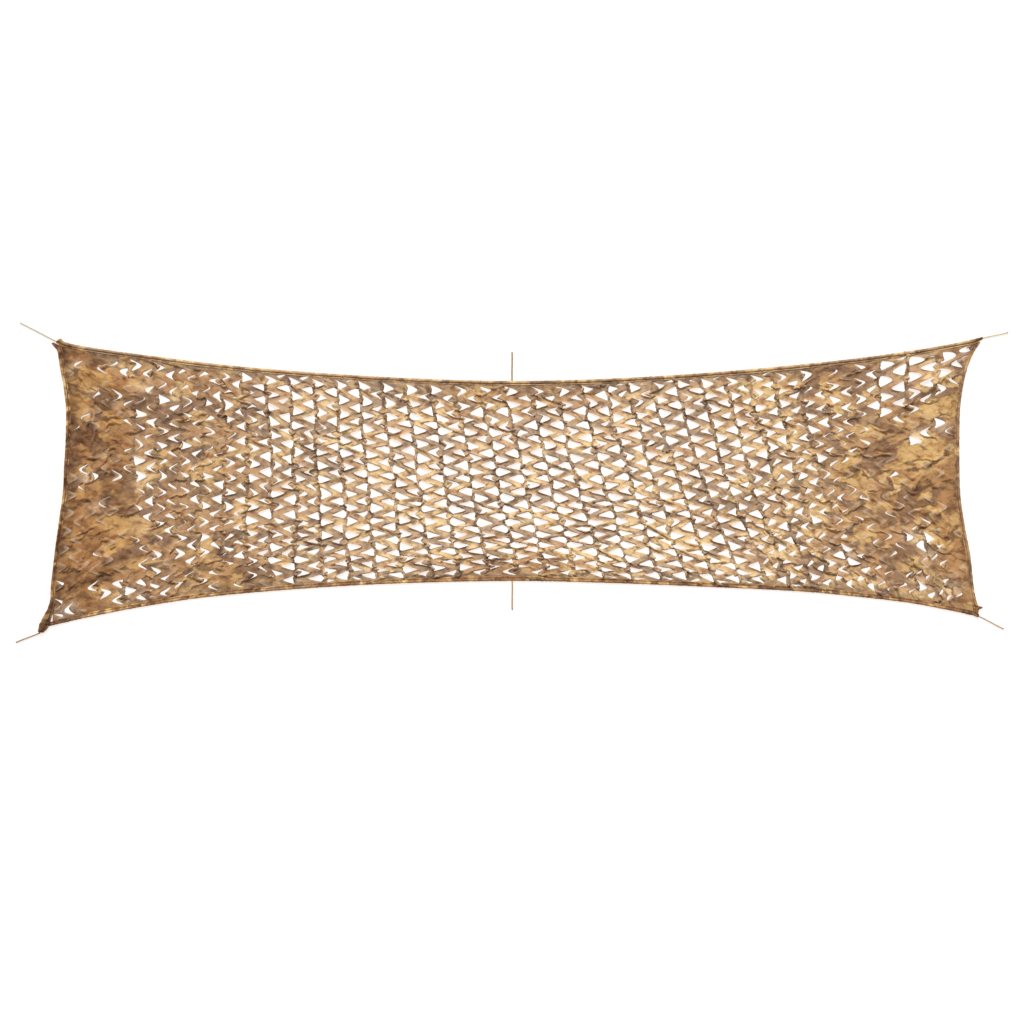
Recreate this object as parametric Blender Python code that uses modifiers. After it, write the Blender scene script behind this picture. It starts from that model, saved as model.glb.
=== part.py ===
"""A camouflage net of slit cloth, spread out flat, with its four edge bindings and six ties.

Metres, +Z up. X runs along the net and Y across it. The net lies on the plane Z = 0, and the
origin is on that plane, under the middle of the box round the cloth and its bindings.
The tables below are measured from the middle of the outline as drawn, which main() then moves.
"""

import math

import bpy
import bmesh
from mathutils import Vector
from mathutils.geometry import delaunay_2d_cdt

# Driving dimensions.
BOX_MIDDLE = (-0.01475, -0.00175)
CLOTH_THICK = 0.002
BINDING_WIDTH = 0.024
BINDING_HIGH = 0.009
GAP = 0.0003
TIE_DIAMETER = 0.009
COLUMNS = 37            # pairs of slits along the net
ROWS = 15.5             # pairs of slits across the net
MIDDLE_WIDER = 0.17     # how much wider the columns are in the middle of the net
LEAN = 0.30             # how far the columns lean over, as a slope
ROWS_CLOSER_BELOW = 0.15    # how much closer the rows are below the middle, as a share
EDGE_ROWS = 16          # steps along the cloth's short edges
EDGE_PASSES = 4         # the edges depend on each other's place, so they are read in turn

# The outer edge of each binding. Long edges: columns x, y.
TOP_EDGE = [
    (-2.440, 0.768), (-2.343, 0.747), (-2.151, 0.717), (-1.889, 0.682), (-1.487, 0.634),
    (-0.952, 0.591), (-0.444, 0.564), (-0.005, 0.554), (0.465, 0.564), (0.947, 0.591),
    (1.428, 0.631), (1.856, 0.677), (2.124, 0.714), (2.338, 0.750), (2.514, 0.784),
]
BOTTOM_EDGE = [
    (-2.477, -0.757), (-2.290, -0.714), (-2.022, -0.661), (-1.675, -0.607), (-1.220, -0.564),
    (-0.685, -0.532), (-0.005, -0.516), (0.519, -0.527), (1.000, -0.546), (1.535, -0.572),
    (1.856, -0.602), (2.124, -0.634), (2.338, -0.674), (2.493, -0.706),
]
# Ends: columns y, x.
LEFT_EDGE = [
    (-0.757, -2.477), (-0.554, -2.472), (-0.404, -2.456), (-0.211, -2.431), (-0.062, -2.410),
    (0.131, -2.399), (0.238, -2.393), (0.399, -2.391), (0.532, -2.405), (0.629, -2.424),
    (0.768, -2.440),
]
RIGHT_EDGE = [
    (-0.706, 2.493), (-0.564, 2.466), (-0.377, 2.445), (-0.233, 2.418), (-0.099, 2.397),
    (0.024, 2.389), (0.366, 2.389), (0.495, 2.402), (0.623, 2.429), (0.709, 2.466),
    (0.784, 2.514),
]

# The gathered ends of the bindings, past the last full section.
# Columns: outer x, outer y, inner x, inner y, height.
TOP_LEFT_END = [
    (-2.4360, 0.7720, -2.4425, 0.7565, 0.012),
    (-2.4180, 0.7810, -2.4290, 0.7484, 0.013),
    (-2.4040, 0.7650, -2.4122, 0.7379, 0.011),
]
TOP_RIGHT_END = [
    (2.4400, 0.7715, 2.4400, 0.7459, 0.010),
    (2.4600, 0.7765, 2.4669, 0.7510, 0.010),
    (2.4870, 0.7835, 2.4920, 0.7662, 0.011),
    (2.5090, 0.7895, 2.5115, 0.7765, 0.010),
]
BOTTOM_LEFT_END = [
    (-2.4771, -0.7570, -2.4520, -0.7273, 0.011),
    (-2.4350, -0.7475, -2.4300, -0.7223, 0.010),
]
BOTTOM_RIGHT_END = [
    (2.4380, -0.6965, 2.4400, -0.6712, 0.010),
    (2.4600, -0.7010, 2.4628, -0.6760, 0.010),
    (2.4740, -0.7070, 2.4800, -0.6872, 0.011),
    (2.4860, -0.7105, 2.4935, -0.6960, 0.010),
]
LEFT_TOP_END = [
    (-2.4370, 0.7150, -2.4128, 0.7368, 0.009),
    (-2.4500, 0.7330, -2.4290, 0.7465, 0.010),
    (-2.4690, 0.7540, -2.4560, 0.7590, 0.009),
]
LEFT_BOTTOM_END = [
    (-2.5410, -0.7850, -2.5100, -0.7930, 0.018),
    (-2.5300, -0.7460, -2.4800, -0.7590, 0.020),
    (-2.5090, -0.7040, -2.4526, -0.7266, 0.017),
    (-2.4880, -0.6600, -2.4515, -0.6600, 0.012),
]
RIGHT_TOP_END = [
    (2.4680, 0.7130, 2.4472, 0.7120, 0.009),
    (2.4870, 0.7420, 2.4676, 0.7499, 0.010),
    (2.4990, 0.7610, 2.4915, 0.7642, 0.009),
]
RIGHT_BOTTOM_END = [
    (2.4960, -0.6950, 2.4633, -0.6750, 0.010),
    (2.5080, -0.6600, 2.4592, -0.6550, 0.012),
    (2.4850, -0.6300, 2.4543, -0.6300, 0.010),
]

# The section of a binding: columns across from its outer side, share of its height.
BINDING_SECTION = [(0.0, 0.0), (1.0, 0.0), (0.96, 0.5), (0.7, 1.0), (0.3, 1.0), (0.04, 0.5)]

# Ties: columns name, start x, start y, end x, end y.
TIES = [
    ("tie_top_left", -2.4402, 0.7645, -2.6350, 0.8640),
    ("tie_top_right", 2.5109, 0.7831, 2.6480, 0.8130),
    ("tie_bottom_left", -2.5280, -0.7924, -2.6590, -0.8450),
    ("tie_bottom_right", 2.4903, -0.7035, 2.6250, -0.7730),
    ("tie_top", -0.0050, 0.5545, -0.0050, 0.7090),
    ("tie_bottom", -0.0040, -0.5164, -0.0040, -0.6710),
]
TIE_STEP = 2.5 * TIE_DIAMETER
TIE_BOW = 0.0015

# A stretched slit opens into a drop with its blunt side at a knot column.
# Columns: share of a column's width, share of a row's height each way. The tip comes last.
DROP = [(0.07, 0.20), (0.22, 0.34), (0.62, 0.0)]
OPEN_COLUMNS = range(15, 22)    # where the slits gape widest
OPEN_ROWS = range(2, 14)

# Soft folds where the ties pull: columns start x, start y, end x, end y, width, height.
FOLDS = [
    (-2.330, 0.640, -1.950, 0.440, 0.150, 0.021),
    (-2.290, 0.400, -2.080, 0.120, 0.120, 0.014),
    (-2.360, -0.540, -2.020, -0.330, 0.150, 0.020),
    (-2.220, -0.080, -2.100, -0.420, 0.110, 0.012),
    (2.350, 0.630, 2.020, 0.400, 0.150, 0.020),
    (2.280, 0.260, 2.120, -0.060, 0.110, 0.013),
    (2.340, -0.520, 2.010, -0.300, 0.150, 0.021),
    (-1.500, 0.430, -1.120, 0.400, 0.120, 0.010),
    (1.150, -0.380, 1.560, -0.400, 0.120, 0.011),
]
FOLD_STEPS = 6
FLANKS = (-1.0, -0.45, 0.0, 0.45, 1.0)      # across a fold, from foot to foot

INSIDE_ONLY = 1         # the triangulation's output: triangles inside the outlines
MERGE_WITHIN = 1e-6

TAN = (0.52, 0.29, 0.10, 1.0)
BROWN = (0.30, 0.17, 0.08, 1.0)
CORD = (0.60, 0.42, 0.22, 1.0)
ROUGHNESS = 0.9


def smooth(table, at):
    """The second column of a table at a value of its first, on one smooth curve."""
    keys = [row[0] for row in table]
    values = [row[1] for row in table]
    last = len(table) - 1
    slopes = []
    for i in range(last + 1):
        before = max(i - 1, 0)
        after = min(i + 1, last)
        slopes.append((values[after] - values[before]) / (keys[after] - keys[before]))
    i = 0
    while i < last - 1 and at > keys[i + 1]:
        i += 1
    span = keys[i + 1] - keys[i]
    t = (at - keys[i]) / span
    return (
        (2 * t ** 3 - 3 * t ** 2 + 1) * values[i]
        + (t ** 3 - 2 * t ** 2 + t) * span * slopes[i]
        + (3 * t ** 2 - 2 * t ** 3) * values[i + 1]
        + (t ** 3 - t ** 2) * span * slopes[i + 1]
    )


def cloth_place(column, row):
    """Where a point of the cloth lies: columns counted from the left, rows from the bottom."""
    inset = BINDING_WIDTH + GAP
    along = column / COLUMNS
    across = row / ROWS
    # A column's width grows with sin(pi * along) ** 4, whose integral places it. The columns
    # lean over most in the right half, and the rows draw closer in the lower middle.
    wide = (math.sin(4 * math.pi * along) / 32 - math.sin(2 * math.pi * along) / 4) / math.pi
    share = along + MIDDLE_WIDER * wide
    lean = LEAN * math.sin(math.pi * along ** 2)
    middle = math.sin(math.pi * along) ** 4
    rise = across + ROWS_CLOSER_BELOW * middle * (across ** 2 - across)
    y = 0.0
    for _ in range(EDGE_PASSES):
        left = smooth(LEFT_EDGE, y) + inset
        right = smooth(RIGHT_EDGE, y) - inset
        x = left + (right - left) * share - lean * y
        low = smooth(BOTTOM_EDGE, x) + inset
        high = smooth(TOP_EDGE, x) - inset
        y = low + (high - low) * rise
    return x, y


def fold_lift(x, y):
    """How far a fold lifts the cloth off the ground at a point."""
    lift = 0.0
    here = Vector((x, y))
    for start_x, start_y, end_x, end_y, width, high in FOLDS:
        start = Vector((start_x, start_y))
        run = Vector((end_x, end_y)) - start
        along = (here - start).dot(run) / run.length_squared
        aside = (here - start - run * along).length / (width / 2)
        if 0 < along < 1 and aside < 1:
            crest = math.sin(math.pi * along)
            lift = max(lift, high * crest * math.cos(math.pi / 2 * aside) ** 2)
    return lift


def fold_points():
    """Points along the crest and the flanks of every fold, so that the mesh follows it."""
    points = []
    for start_x, start_y, end_x, end_y, width, _ in FOLDS:
        start = Vector((start_x, start_y))
        run = Vector((end_x, end_y)) - start
        aside = run.orthogonal().normalized() * width / 2
        for step in range(FOLD_STEPS + 1):
            for flank in FLANKS:
                points.append(tuple(start + run * step / FOLD_STEPS + aside * flank))
    return points


def drop_outline(column, row, facing):
    """One opened slit, anticlockwise: its blunt side is on a column, and facing is 1 or -1."""
    lower = [(column + facing * across, row - facing * up) for across, up in DROP]
    upper = [(column + facing * across, row + facing * up) for across, up in reversed(DROP[:-1])]
    return [cloth_place(*point) for point in lower + upper]


def cloth_outline():
    """The edge of the cloth, inside the bindings."""
    rows = [ROWS * step / EDGE_ROWS for step in range(EDGE_ROWS + 1)]
    bottom = [(column, 0) for column in range(COLUMNS)]
    right = [(COLUMNS, row) for row in rows[:-1]]
    top = [(column, ROWS) for column in range(COLUMNS, 0, -1)]
    left = [(0, row) for row in reversed(rows[1:])]
    return [cloth_place(*point) for point in bottom + right + top + left]


def surface_material(name, color):
    """A plain dull finish."""
    material = bpy.data.materials.new(name)
    material.use_nodes = True
    shader = material.node_tree.nodes["Principled BSDF"]
    shader.inputs["Base Color"].default_value = color
    shader.inputs["Roughness"].default_value = ROUGHNESS
    shader.inputs["Metallic"].default_value = 0.0
    material.diffuse_color = color
    return material


def add_object(name, data, color, collection):
    """A named object with its own material."""
    piece = bpy.data.objects.new(name, data)
    data.materials.append(surface_material(name, color))
    collection.objects.link(piece)
    return piece


def make_cloth(collection):
    """The slit cloth: a thin sheet with its widest gaps cut through and its folds raised."""
    outlines = [cloth_outline()]
    for column in OPEN_COLUMNS:
        for row in OPEN_ROWS:
            outlines.append(drop_outline(column, row, 1))
            outlines.append(drop_outline(column + 1, row + 0.5, -1))
    points = []
    faces = []
    for outline in outlines:
        faces.append(list(range(len(points), len(points) + len(outline))))
        points += outline
    for column in range(1, COLUMNS):
        points += [cloth_place(column, row) for row in range(1, int(ROWS) + 1)]
    points += fold_points()
    flat, _, triangles, _, _, sources = delaunay_2d_cdt(
        [Vector(point) for point in points], [], faces, INSIDE_ONLY, MERGE_WITHIN, True
    )
    shape = bmesh.new()
    corners = [shape.verts.new((x, y, fold_lift(x, y))) for x, y in flat]
    for triangle, inside in zip(triangles, sources):
        if set(inside) == {0}:      # in the cloth's outline and in no slit's
            shape.faces.new([corners[i] for i in triangle])
    loose = [corner for corner in shape.verts if not corner.link_faces]
    bmesh.ops.delete(shape, geom=loose, context="VERTS")
    bmesh.ops.recalc_face_normals(shape, faces=shape.faces)
    if sum(face.normal.z for face in shape.faces) < 0:
        bmesh.ops.reverse_faces(shape, faces=shape.faces)
    mesh = bpy.data.meshes.new("net_cloth")
    shape.to_mesh(mesh)
    shape.free()
    cloth = add_object("net_cloth", mesh, TAN, collection)
    thick = cloth.modifiers.new("thickness", "SOLIDIFY")
    thick.thickness = CLOTH_THICK
    thick.offset = 1.0
    return cloth


def loft(name, sections, collection):
    """A flat-bottomed band through sections of outer x, outer y, inner x, inner y, height."""
    shape = bmesh.new()
    rings = []
    for outer_x, outer_y, inner_x, inner_y, high in sections:
        ring = []
        for across, up in BINDING_SECTION:
            x = outer_x + (inner_x - outer_x) * across
            y = outer_y + (inner_y - outer_y) * across
            ring.append(shape.verts.new((x, y, high * up)))
        rings.append(ring)
    for ring, after in zip(rings, rings[1:]):
        for i in range(len(ring)):
            j = (i + 1) % len(ring)
            shape.faces.new((ring[i], ring[j], after[j], after[i]))
    shape.faces.new(rings[0])
    shape.faces.new(rings[-1])
    bmesh.ops.triangulate(shape, faces=shape.faces)
    bmesh.ops.recalc_face_normals(shape, faces=shape.faces)
    mesh = bpy.data.meshes.new(name)
    shape.to_mesh(mesh)
    shape.free()
    return add_object(name, mesh, BROWN, collection)


def binding_sections(places, side_x, side_y):
    """Full sections outside a run of points on the cloth's edge, towards one side."""
    sections = []
    for x, y in places:
        inner_x = x + side_x * GAP
        inner_y = y + side_y * GAP
        outer_x = inner_x + side_x * BINDING_WIDTH
        outer_y = inner_y + side_y * BINDING_WIDTH
        sections.append((outer_x, outer_y, inner_x, inner_y, BINDING_HIGH))
    return sections


def make_bindings(collection):
    """The four bindings, each with its gathered ends."""
    columns = range(1, COLUMNS)
    rows = [ROWS * step / EDGE_ROWS for step in range(1, EDGE_ROWS)]
    bottom = binding_sections([cloth_place(column, 0) for column in columns], 0, -1)
    top = binding_sections([cloth_place(column, ROWS) for column in columns], 0, 1)
    left = binding_sections([cloth_place(0, row) for row in rows], -1, 0)
    right = binding_sections([cloth_place(COLUMNS, row) for row in rows], 1, 0)
    return [
        loft("binding_top", TOP_LEFT_END + top + TOP_RIGHT_END, collection),
        loft("binding_bottom", BOTTOM_LEFT_END + bottom + BOTTOM_RIGHT_END, collection),
        loft("binding_left", LEFT_BOTTOM_END + left + LEFT_TOP_END, collection),
        loft("binding_right", RIGHT_BOTTOM_END + right + RIGHT_TOP_END, collection),
    ]


def make_tie(name, start, end, collection):
    """A short round cord on the ground, bowed a little."""
    run = end - start
    aside = run.orthogonal().normalized()
    count = max(3, round(run.length / TIE_STEP))
    curve = bpy.data.curves.new(name, "CURVE")
    curve.dimensions = "3D"
    curve.bevel_depth = TIE_DIAMETER / 2
    curve.bevel_resolution = 2
    curve.use_fill_caps = True
    spline = curve.splines.new("POLY")
    spline.points.add(count)
    for i, point in enumerate(spline.points):
        t = i / count
        place = start + run * t + aside * TIE_BOW * math.sin(2 * math.pi * t)
        point.co = (place.x, place.y, TIE_DIAMETER / 2, 1.0)
    return add_object(name, curve, CORD, collection)


def main():
    for old in list(bpy.data.objects):
        bpy.data.objects.remove(old, do_unlink=True)
    collection = bpy.data.collections.new("camouflage_netting")
    bpy.context.scene.collection.children.link(collection)
    make_cloth(collection)
    make_bindings(collection)
    for name, start_x, start_y, end_x, end_y in TIES:
        make_tie(name, Vector((start_x, start_y)), Vector((end_x, end_y)), collection)
    for piece in collection.objects:
        piece.location = (-BOX_MIDDLE[0], -BOX_MIDDLE[1], 0.0)


main()
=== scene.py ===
"""The looks of the camouflage net: slit cloth, rolled bindings, stitching and twisted ties.

Metres, +Z up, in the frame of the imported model. The net lies on the plane Z = 0 and is seen
from straight above. The cloth starts flat, with every slit cut. It is then laid on the
stretched net's lattice, and springs along its mesh let it find its shape.
"""

import math
from types import SimpleNamespace

import bmesh
import bpy
import numpy as np
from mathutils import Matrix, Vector
from mathutils.geometry import delaunay_2d_cdt

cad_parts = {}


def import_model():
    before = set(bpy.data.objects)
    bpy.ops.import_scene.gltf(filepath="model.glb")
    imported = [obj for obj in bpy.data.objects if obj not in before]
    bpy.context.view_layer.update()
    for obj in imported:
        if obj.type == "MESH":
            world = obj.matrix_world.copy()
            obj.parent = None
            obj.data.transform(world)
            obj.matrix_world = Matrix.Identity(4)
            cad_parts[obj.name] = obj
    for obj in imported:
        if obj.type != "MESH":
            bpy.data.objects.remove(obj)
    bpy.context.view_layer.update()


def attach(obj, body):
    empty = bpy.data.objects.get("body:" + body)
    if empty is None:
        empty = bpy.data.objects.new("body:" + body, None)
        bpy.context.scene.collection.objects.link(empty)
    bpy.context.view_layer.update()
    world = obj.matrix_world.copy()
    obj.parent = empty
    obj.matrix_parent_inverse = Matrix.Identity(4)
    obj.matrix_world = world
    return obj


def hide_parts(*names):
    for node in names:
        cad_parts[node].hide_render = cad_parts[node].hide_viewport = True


BODY = "root"

# --------------------
# The net's own sizes, as in the construction.

BOX_SHIFT = np.array([0.01475, 0.00175])  # from the tables below to the model's frame
COLUMNS = 37
ROWS = 15.5
FULL_ROWS = int(ROWS)
MIDDLE_WIDER = 0.17  # how much wider the columns are in the middle
LEAN = 0.3  # how far they lean in the right half
ROWS_CLOSER_BELOW = 0.15  # how much closer the rows are in the lower middle
EDGE_PASSES = 4
BINDING_WIDTH = 0.024
BINDING_HIGH = 0.009
TIE_DIAMETER = 0.009

# The outer edge of each binding. Long edges: columns x, y. Ends: columns y, x.
TOP_EDGE = np.array([
    (-2.44, 0.768), (-2.343, 0.747), (-2.151, 0.717), (-1.889, 0.682), (-1.487, 0.634),
    (-0.952, 0.591), (-0.444, 0.564), (-0.005, 0.554), (0.465, 0.564), (0.947, 0.591),
    (1.428, 0.631), (1.856, 0.677), (2.124, 0.714), (2.338, 0.75), (2.514, 0.784),
])
BOTTOM_EDGE = np.array([
    (-2.477, -0.757), (-2.29, -0.714), (-2.022, -0.661), (-1.675, -0.607), (-1.22, -0.564),
    (-0.685, -0.532), (-0.005, -0.516), (0.519, -0.527), (1.0, -0.546), (1.535, -0.572),
    (1.856, -0.602), (2.124, -0.634), (2.338, -0.674), (2.493, -0.706),
])
LEFT_EDGE = np.array([
    (-0.757, -2.477), (-0.554, -2.472), (-0.404, -2.456), (-0.211, -2.431), (-0.062, -2.41),
    (0.131, -2.399), (0.238, -2.393), (0.399, -2.391), (0.532, -2.405), (0.629, -2.424),
    (0.768, -2.44),
])
RIGHT_EDGE = np.array([
    (-0.706, 2.493), (-0.564, 2.466), (-0.377, 2.445), (-0.233, 2.418), (-0.099, 2.397),
    (0.024, 2.389), (0.366, 2.389), (0.495, 2.402), (0.623, 2.429), (0.709, 2.466),
    (0.784, 2.514),
])

# The gathered ends of the bindings. Columns: outer x, outer y, inner x, inner y, height.
TOP_LEFT_END = [
    (-2.436, 0.772, -2.4425, 0.7565, 0.012),
    (-2.418, 0.781, -2.429, 0.7484, 0.013),
    (-2.404, 0.765, -2.4122, 0.7379, 0.011),
]
TOP_RIGHT_END = [
    (2.44, 0.7715, 2.44, 0.7459, 0.01),
    (2.46, 0.7765, 2.4669, 0.751, 0.01),
    (2.487, 0.7835, 2.492, 0.7662, 0.011),
    (2.509, 0.7895, 2.5115, 0.7765, 0.01),
]
BOTTOM_LEFT_END = [
    (-2.481, -0.7578, -2.4735, -0.734, 0.011),
    (-2.435, -0.7475, -2.43, -0.7223, 0.01),
]
BOTTOM_RIGHT_END = [
    (2.438, -0.6965, 2.44, -0.6712, 0.01),
    (2.46, -0.701, 2.4628, -0.676, 0.01),
    (2.474, -0.707, 2.48, -0.6872, 0.011),
    (2.486, -0.7105, 2.4935, -0.696, 0.01),
]
LEFT_TOP_END = [
    (-2.437, 0.715, -2.4128, 0.7368, 0.009),
    (-2.45, 0.733, -2.429, 0.7465, 0.01),
    (-2.469, 0.754, -2.456, 0.759, 0.009),
]
LEFT_BOTTOM_END = [
    (-2.541, -0.785, -2.51, -0.793, 0.018),
    (-2.53, -0.746, -2.48, -0.759, 0.02),
    (-2.509, -0.704, -2.469, -0.72, 0.016),
    (-2.488, -0.66, -2.4545, -0.666, 0.012),
]
RIGHT_TOP_END = [
    (2.468, 0.713, 2.4472, 0.712, 0.009),
    (2.487, 0.742, 2.4676, 0.7499, 0.01),
    (2.499, 0.761, 2.4915, 0.7642, 0.009),
]
RIGHT_BOTTOM_END = [
    (2.488, -0.699, 2.4633, -0.679, 0.01),
    (2.4905, -0.671, 2.461, -0.666, 0.012),
    (2.512, -0.658, 2.4592, -0.656, 0.012),
    (2.489, -0.647, 2.457, -0.648, 0.012),
    (2.481, -0.63, 2.4543, -0.63, 0.01),
]

# Ties: columns name, start x, start y, end x, end y.
TIES = [
    ("tie_top_left", -2.4402, 0.7645, -2.635, 0.864),
    ("tie_top_right", 2.5109, 0.7831, 2.648, 0.813),
    ("tie_bottom_left", -2.528, -0.7924, -2.659, -0.845),
    ("tie_bottom_right", 2.4903, -0.7035, 2.625, -0.773),
    ("tie_top", -0.005, 0.5545, -0.005, 0.709),
    ("tie_bottom", -0.004, -0.5164, -0.004, -0.671),
]

# Soft folds where the ties pull: columns start x, start y, end x, end y, width, height.
FOLDS = [
    (-2.33, 0.64, -1.95, 0.44, 0.15, 0.021),
    (-2.29, 0.4, -2.08, 0.12, 0.12, 0.014),
    (-2.36, -0.54, -2.02, -0.33, 0.15, 0.02),
    (-2.22, -0.08, -2.1, -0.42, 0.11, 0.012),
    (2.35, 0.63, 2.02, 0.4, 0.15, 0.02),
    (2.28, 0.26, 2.12, -0.06, 0.11, 0.013),
    (2.34, -0.52, 2.01, -0.3, 0.15, 0.021),
    (-1.5, 0.43, -1.12, 0.4, 0.12, 0.01),
    (1.15, -0.38, 1.56, -0.4, 0.12, 0.011),
]

# --------------------
# The flat cloth and its slits.

CELL = np.array([0.112, 0.093])  # one pair of slits, as cut: across and up
FLAT_SIZE = CELL * (COLUMNS, ROWS)
EACH_WAY = COLUMNS * FULL_ROWS  # slits that face right, and as many that face left
TUCKED_IN = 0.01  # how far the cloth's edge goes into the bindings
SLIT_FROM_COLUMN = 0.0048  # from a knot column's middle to a slit's ends
SLIT_HALF_HIGH = 0.03
SLIT_DEEP = 0.052
SLIT_ROUND = 0.16
SLIT_STEPS = 6
SHORT_HALF_HIGH = 0.017  # of the short slits beside the long bindings
SHORT_OFF = 0.024  # and how far their middles are from the cloth's edge
POINT_GAP = 0.0087
SHAKE = 0.12  # these three are shares of the gap between points
CLEAR_OF_SLIT = 0.52
EDGE_SPACE = 0.45
ALL_TRIANGLES, MERGE_WITHIN = 0, 1e-7  # for the triangulation
TOWARDS_MIDDLE = 0.15  # how far into its triangles a point is probed
TINY, NEVER_ZERO = 1e-6, 1e-9

NET_SEED = 4
SHAPE_SEED = 11
RIPPLE_SPREAD = (0.6, 1.4)  # how unlike the waves of a ripple are

# How far the slits gape, from 0, closed, to 1: along the net (columns x, share), and where
# they gape more or less than that (columns x, y, reach along x, reach along y, more).
GAPE_ALONG = np.array([
    (-2.42, 0.0), (-2.1, 0.06), (-1.92, 0.3), (-1.55, 0.45), (-1.25, 0.75), (-0.9, 0.92),
    (-0.3, 0.96), (0.4, 0.96), (0.8, 0.92), (1.3, 0.78), (1.6, 0.5), (1.92, 0.14),
    (2.15, 0.03), (2.42, 0.0),
])
GAPE_SPOTS = [
    (2.2, 0.64, 0.26, 0.13, 0.66), (1.99, 0.5, 0.22, 0.13, 0.4),
    (2.29, 0.308, 0.05, 0.04, 1.2), (2.16, 0.259, 0.05, 0.04, 1.2),
    (2.12, -0.27, 0.06, 0.04, 1.1), (2.19, -0.3, 0.05, 0.04, 1.0),
    (2.22, -0.383, 0.05, 0.04, 1.0), (1.79, -0.388, 0.07, 0.05, 0.7),
    (2.0, -0.53, 0.38, 0.11, 0.34), (2.34, -0.56, 0.06, 0.05, 0.9),
    (2.19, -0.527, 0.05, 0.05, 0.9), (1.7, 0.56, 0.25, 0.1, -0.32),
    (-2.284, 0.035, 0.05, 0.04, 1.1), (-2.225, -0.12, 0.05, 0.03, 0.6),
    (-2.06, -0.58, 0.12, 0.07, 0.5), (-2.42, -0.69, 0.05, 0.045, 1.2),
    (-2.35, -0.655, 0.03, 0.04, 0.8),
    (-1.98, 0.1, 0.06, 0.24, 0.4), (-1.85, 0.45, 0.25, 0.16, -0.12),
    (-2.26, 0.37, 0.05, 0.04, 0.5), (-0.05, 0.5, 0.5, 0.11, -0.65),
    (0.0, -0.45, 0.5, 0.1, -0.7), (-1.38, -0.5, 0.36, 0.12, -0.35),
    (1.3, 0.52, 0.22, 0.14, -0.24), (-1.84, 0.65, 0.22, 0.06, 0.22),
    (-0.92, -0.22, 0.24, 0.12, -0.2), (0.95, -0.3, 0.22, 0.2, -0.1),
    (2.45, 0.73, 0.07, 0.04, 0.9), (1.79, 0.07, 0.06, 0.05, -0.8),
    (-2.217, 0.7, 0.04, 0.03, 0.38), (-2.156, 0.662, 0.04, 0.03, 0.45),
    (-2.081, 0.621, 0.05, 0.03, 0.6), (-2.345, 0.64, 0.04, 0.03, 0.55),
    (-2.236, 0.49, 0.05, 0.03, 0.55), (-2.092, 0.441, 0.05, 0.03, 0.6),
    (-2.022, 0.372, 0.05, 0.03, 0.55), (-1.985, 0.52, 0.06, 0.04, 0.5),
    (-1.832, 0.453, 0.06, 0.04, 0.6), (-2.199, 0.15, 0.04, 0.03, 0.5),
]
CLOSED_GAPE = (0.08, 0.55)  # the cloth is closed below the first, open above the second

UV_CLOTH = "cloth"  # metres of flat cloth
UV_BAKE = "OFBake"  # the same, filling a unit square


def smooth(table, at):
    """The second column of a table at values of its first, on one smooth curve."""
    keys, values = table.T
    wide = np.pad(table, ((1, 1), (0, 0)), "edge")
    runs, rises = (wide[2:] - wide[:-2]).T
    slopes = rises / runs
    i = np.clip(np.searchsorted(keys, at) - 1, 0, len(keys) - 2)
    span = keys[i + 1] - keys[i]
    t = (at - keys[i]) / span
    return (
        (2 * t ** 3 - 3 * t ** 2 + 1) * values[i]
        + (t ** 3 - 2 * t ** 2 + t) * span * slopes[i]
        + (3 * t ** 2 - 2 * t ** 3) * values[i + 1]
        + (t ** 3 - t ** 2) * span * slopes[i + 1]
    )


def ease(low, high, at):
    """A smooth step from 0 at low to 1 at high."""
    t = np.clip((at - low) / (high - low), 0, 1)
    return t * t * (3 - 2 * t)


def ripple(points, length, seed, waves=14):
    """Smooth, even noise of about unit size, with features of about that length."""
    rng = np.random.default_rng(seed)
    total = np.zeros(len(points))
    for _ in range(waves):
        way = rng.normal(0, 1, points.shape[1])
        way *= rng.uniform(*RIPPLE_SPREAD) * 2 * np.pi / (length * np.linalg.norm(way))
        total += np.sin(points @ way + rng.uniform(0, 2 * np.pi))
    return total * math.sqrt(2 / waves)


def far_apart(a, b):
    """How far apart two points are, for each row of both tables."""
    return np.linalg.norm(a - b, axis=1)


def unit(ways):
    """The same directions with length 1."""
    return ways / np.linalg.norm(ways, axis=1)[:, None]


def steps_along(line):
    """How far along a line of points each of them is."""
    return np.concatenate([[0.0], np.cumsum(far_apart(line[1:], line[:-1]))])


def cloth_place(column, row, inset):
    """Where points of the net lie: columns counted from the left, rows from the bottom."""
    along = column / COLUMNS
    across = row / ROWS
    wide = (np.sin(4 * np.pi * along) / 32 - np.sin(2 * np.pi * along) / 4) / np.pi
    share = along + MIDDLE_WIDER * wide
    lean = LEAN * np.sin(np.pi * along ** 2)
    middle = np.sin(np.pi * along) ** 4
    rise = across + ROWS_CLOSER_BELOW * middle * (across ** 2 - across)
    y = np.zeros(len(along))
    for _ in range(EDGE_PASSES):
        left = smooth(LEFT_EDGE, y) + inset
        right = smooth(RIGHT_EDGE, y) - inset
        x = left + (right - left) * share - lean * y
        low = smooth(BOTTOM_EDGE, x) + inset
        high = smooth(TOP_EDGE, x) - inset
        y = low + (high - low) * rise
    return np.stack([x, y], 1) + BOX_SHIFT


def lattice(flat):
    """Where points of the flat cloth lie once the net is stretched, by its lattice alone."""
    return cloth_place(flat[:, 0] / CELL[0], flat[:, 1] / CELL[1], BINDING_WIDTH - TUCKED_IN)


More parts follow.
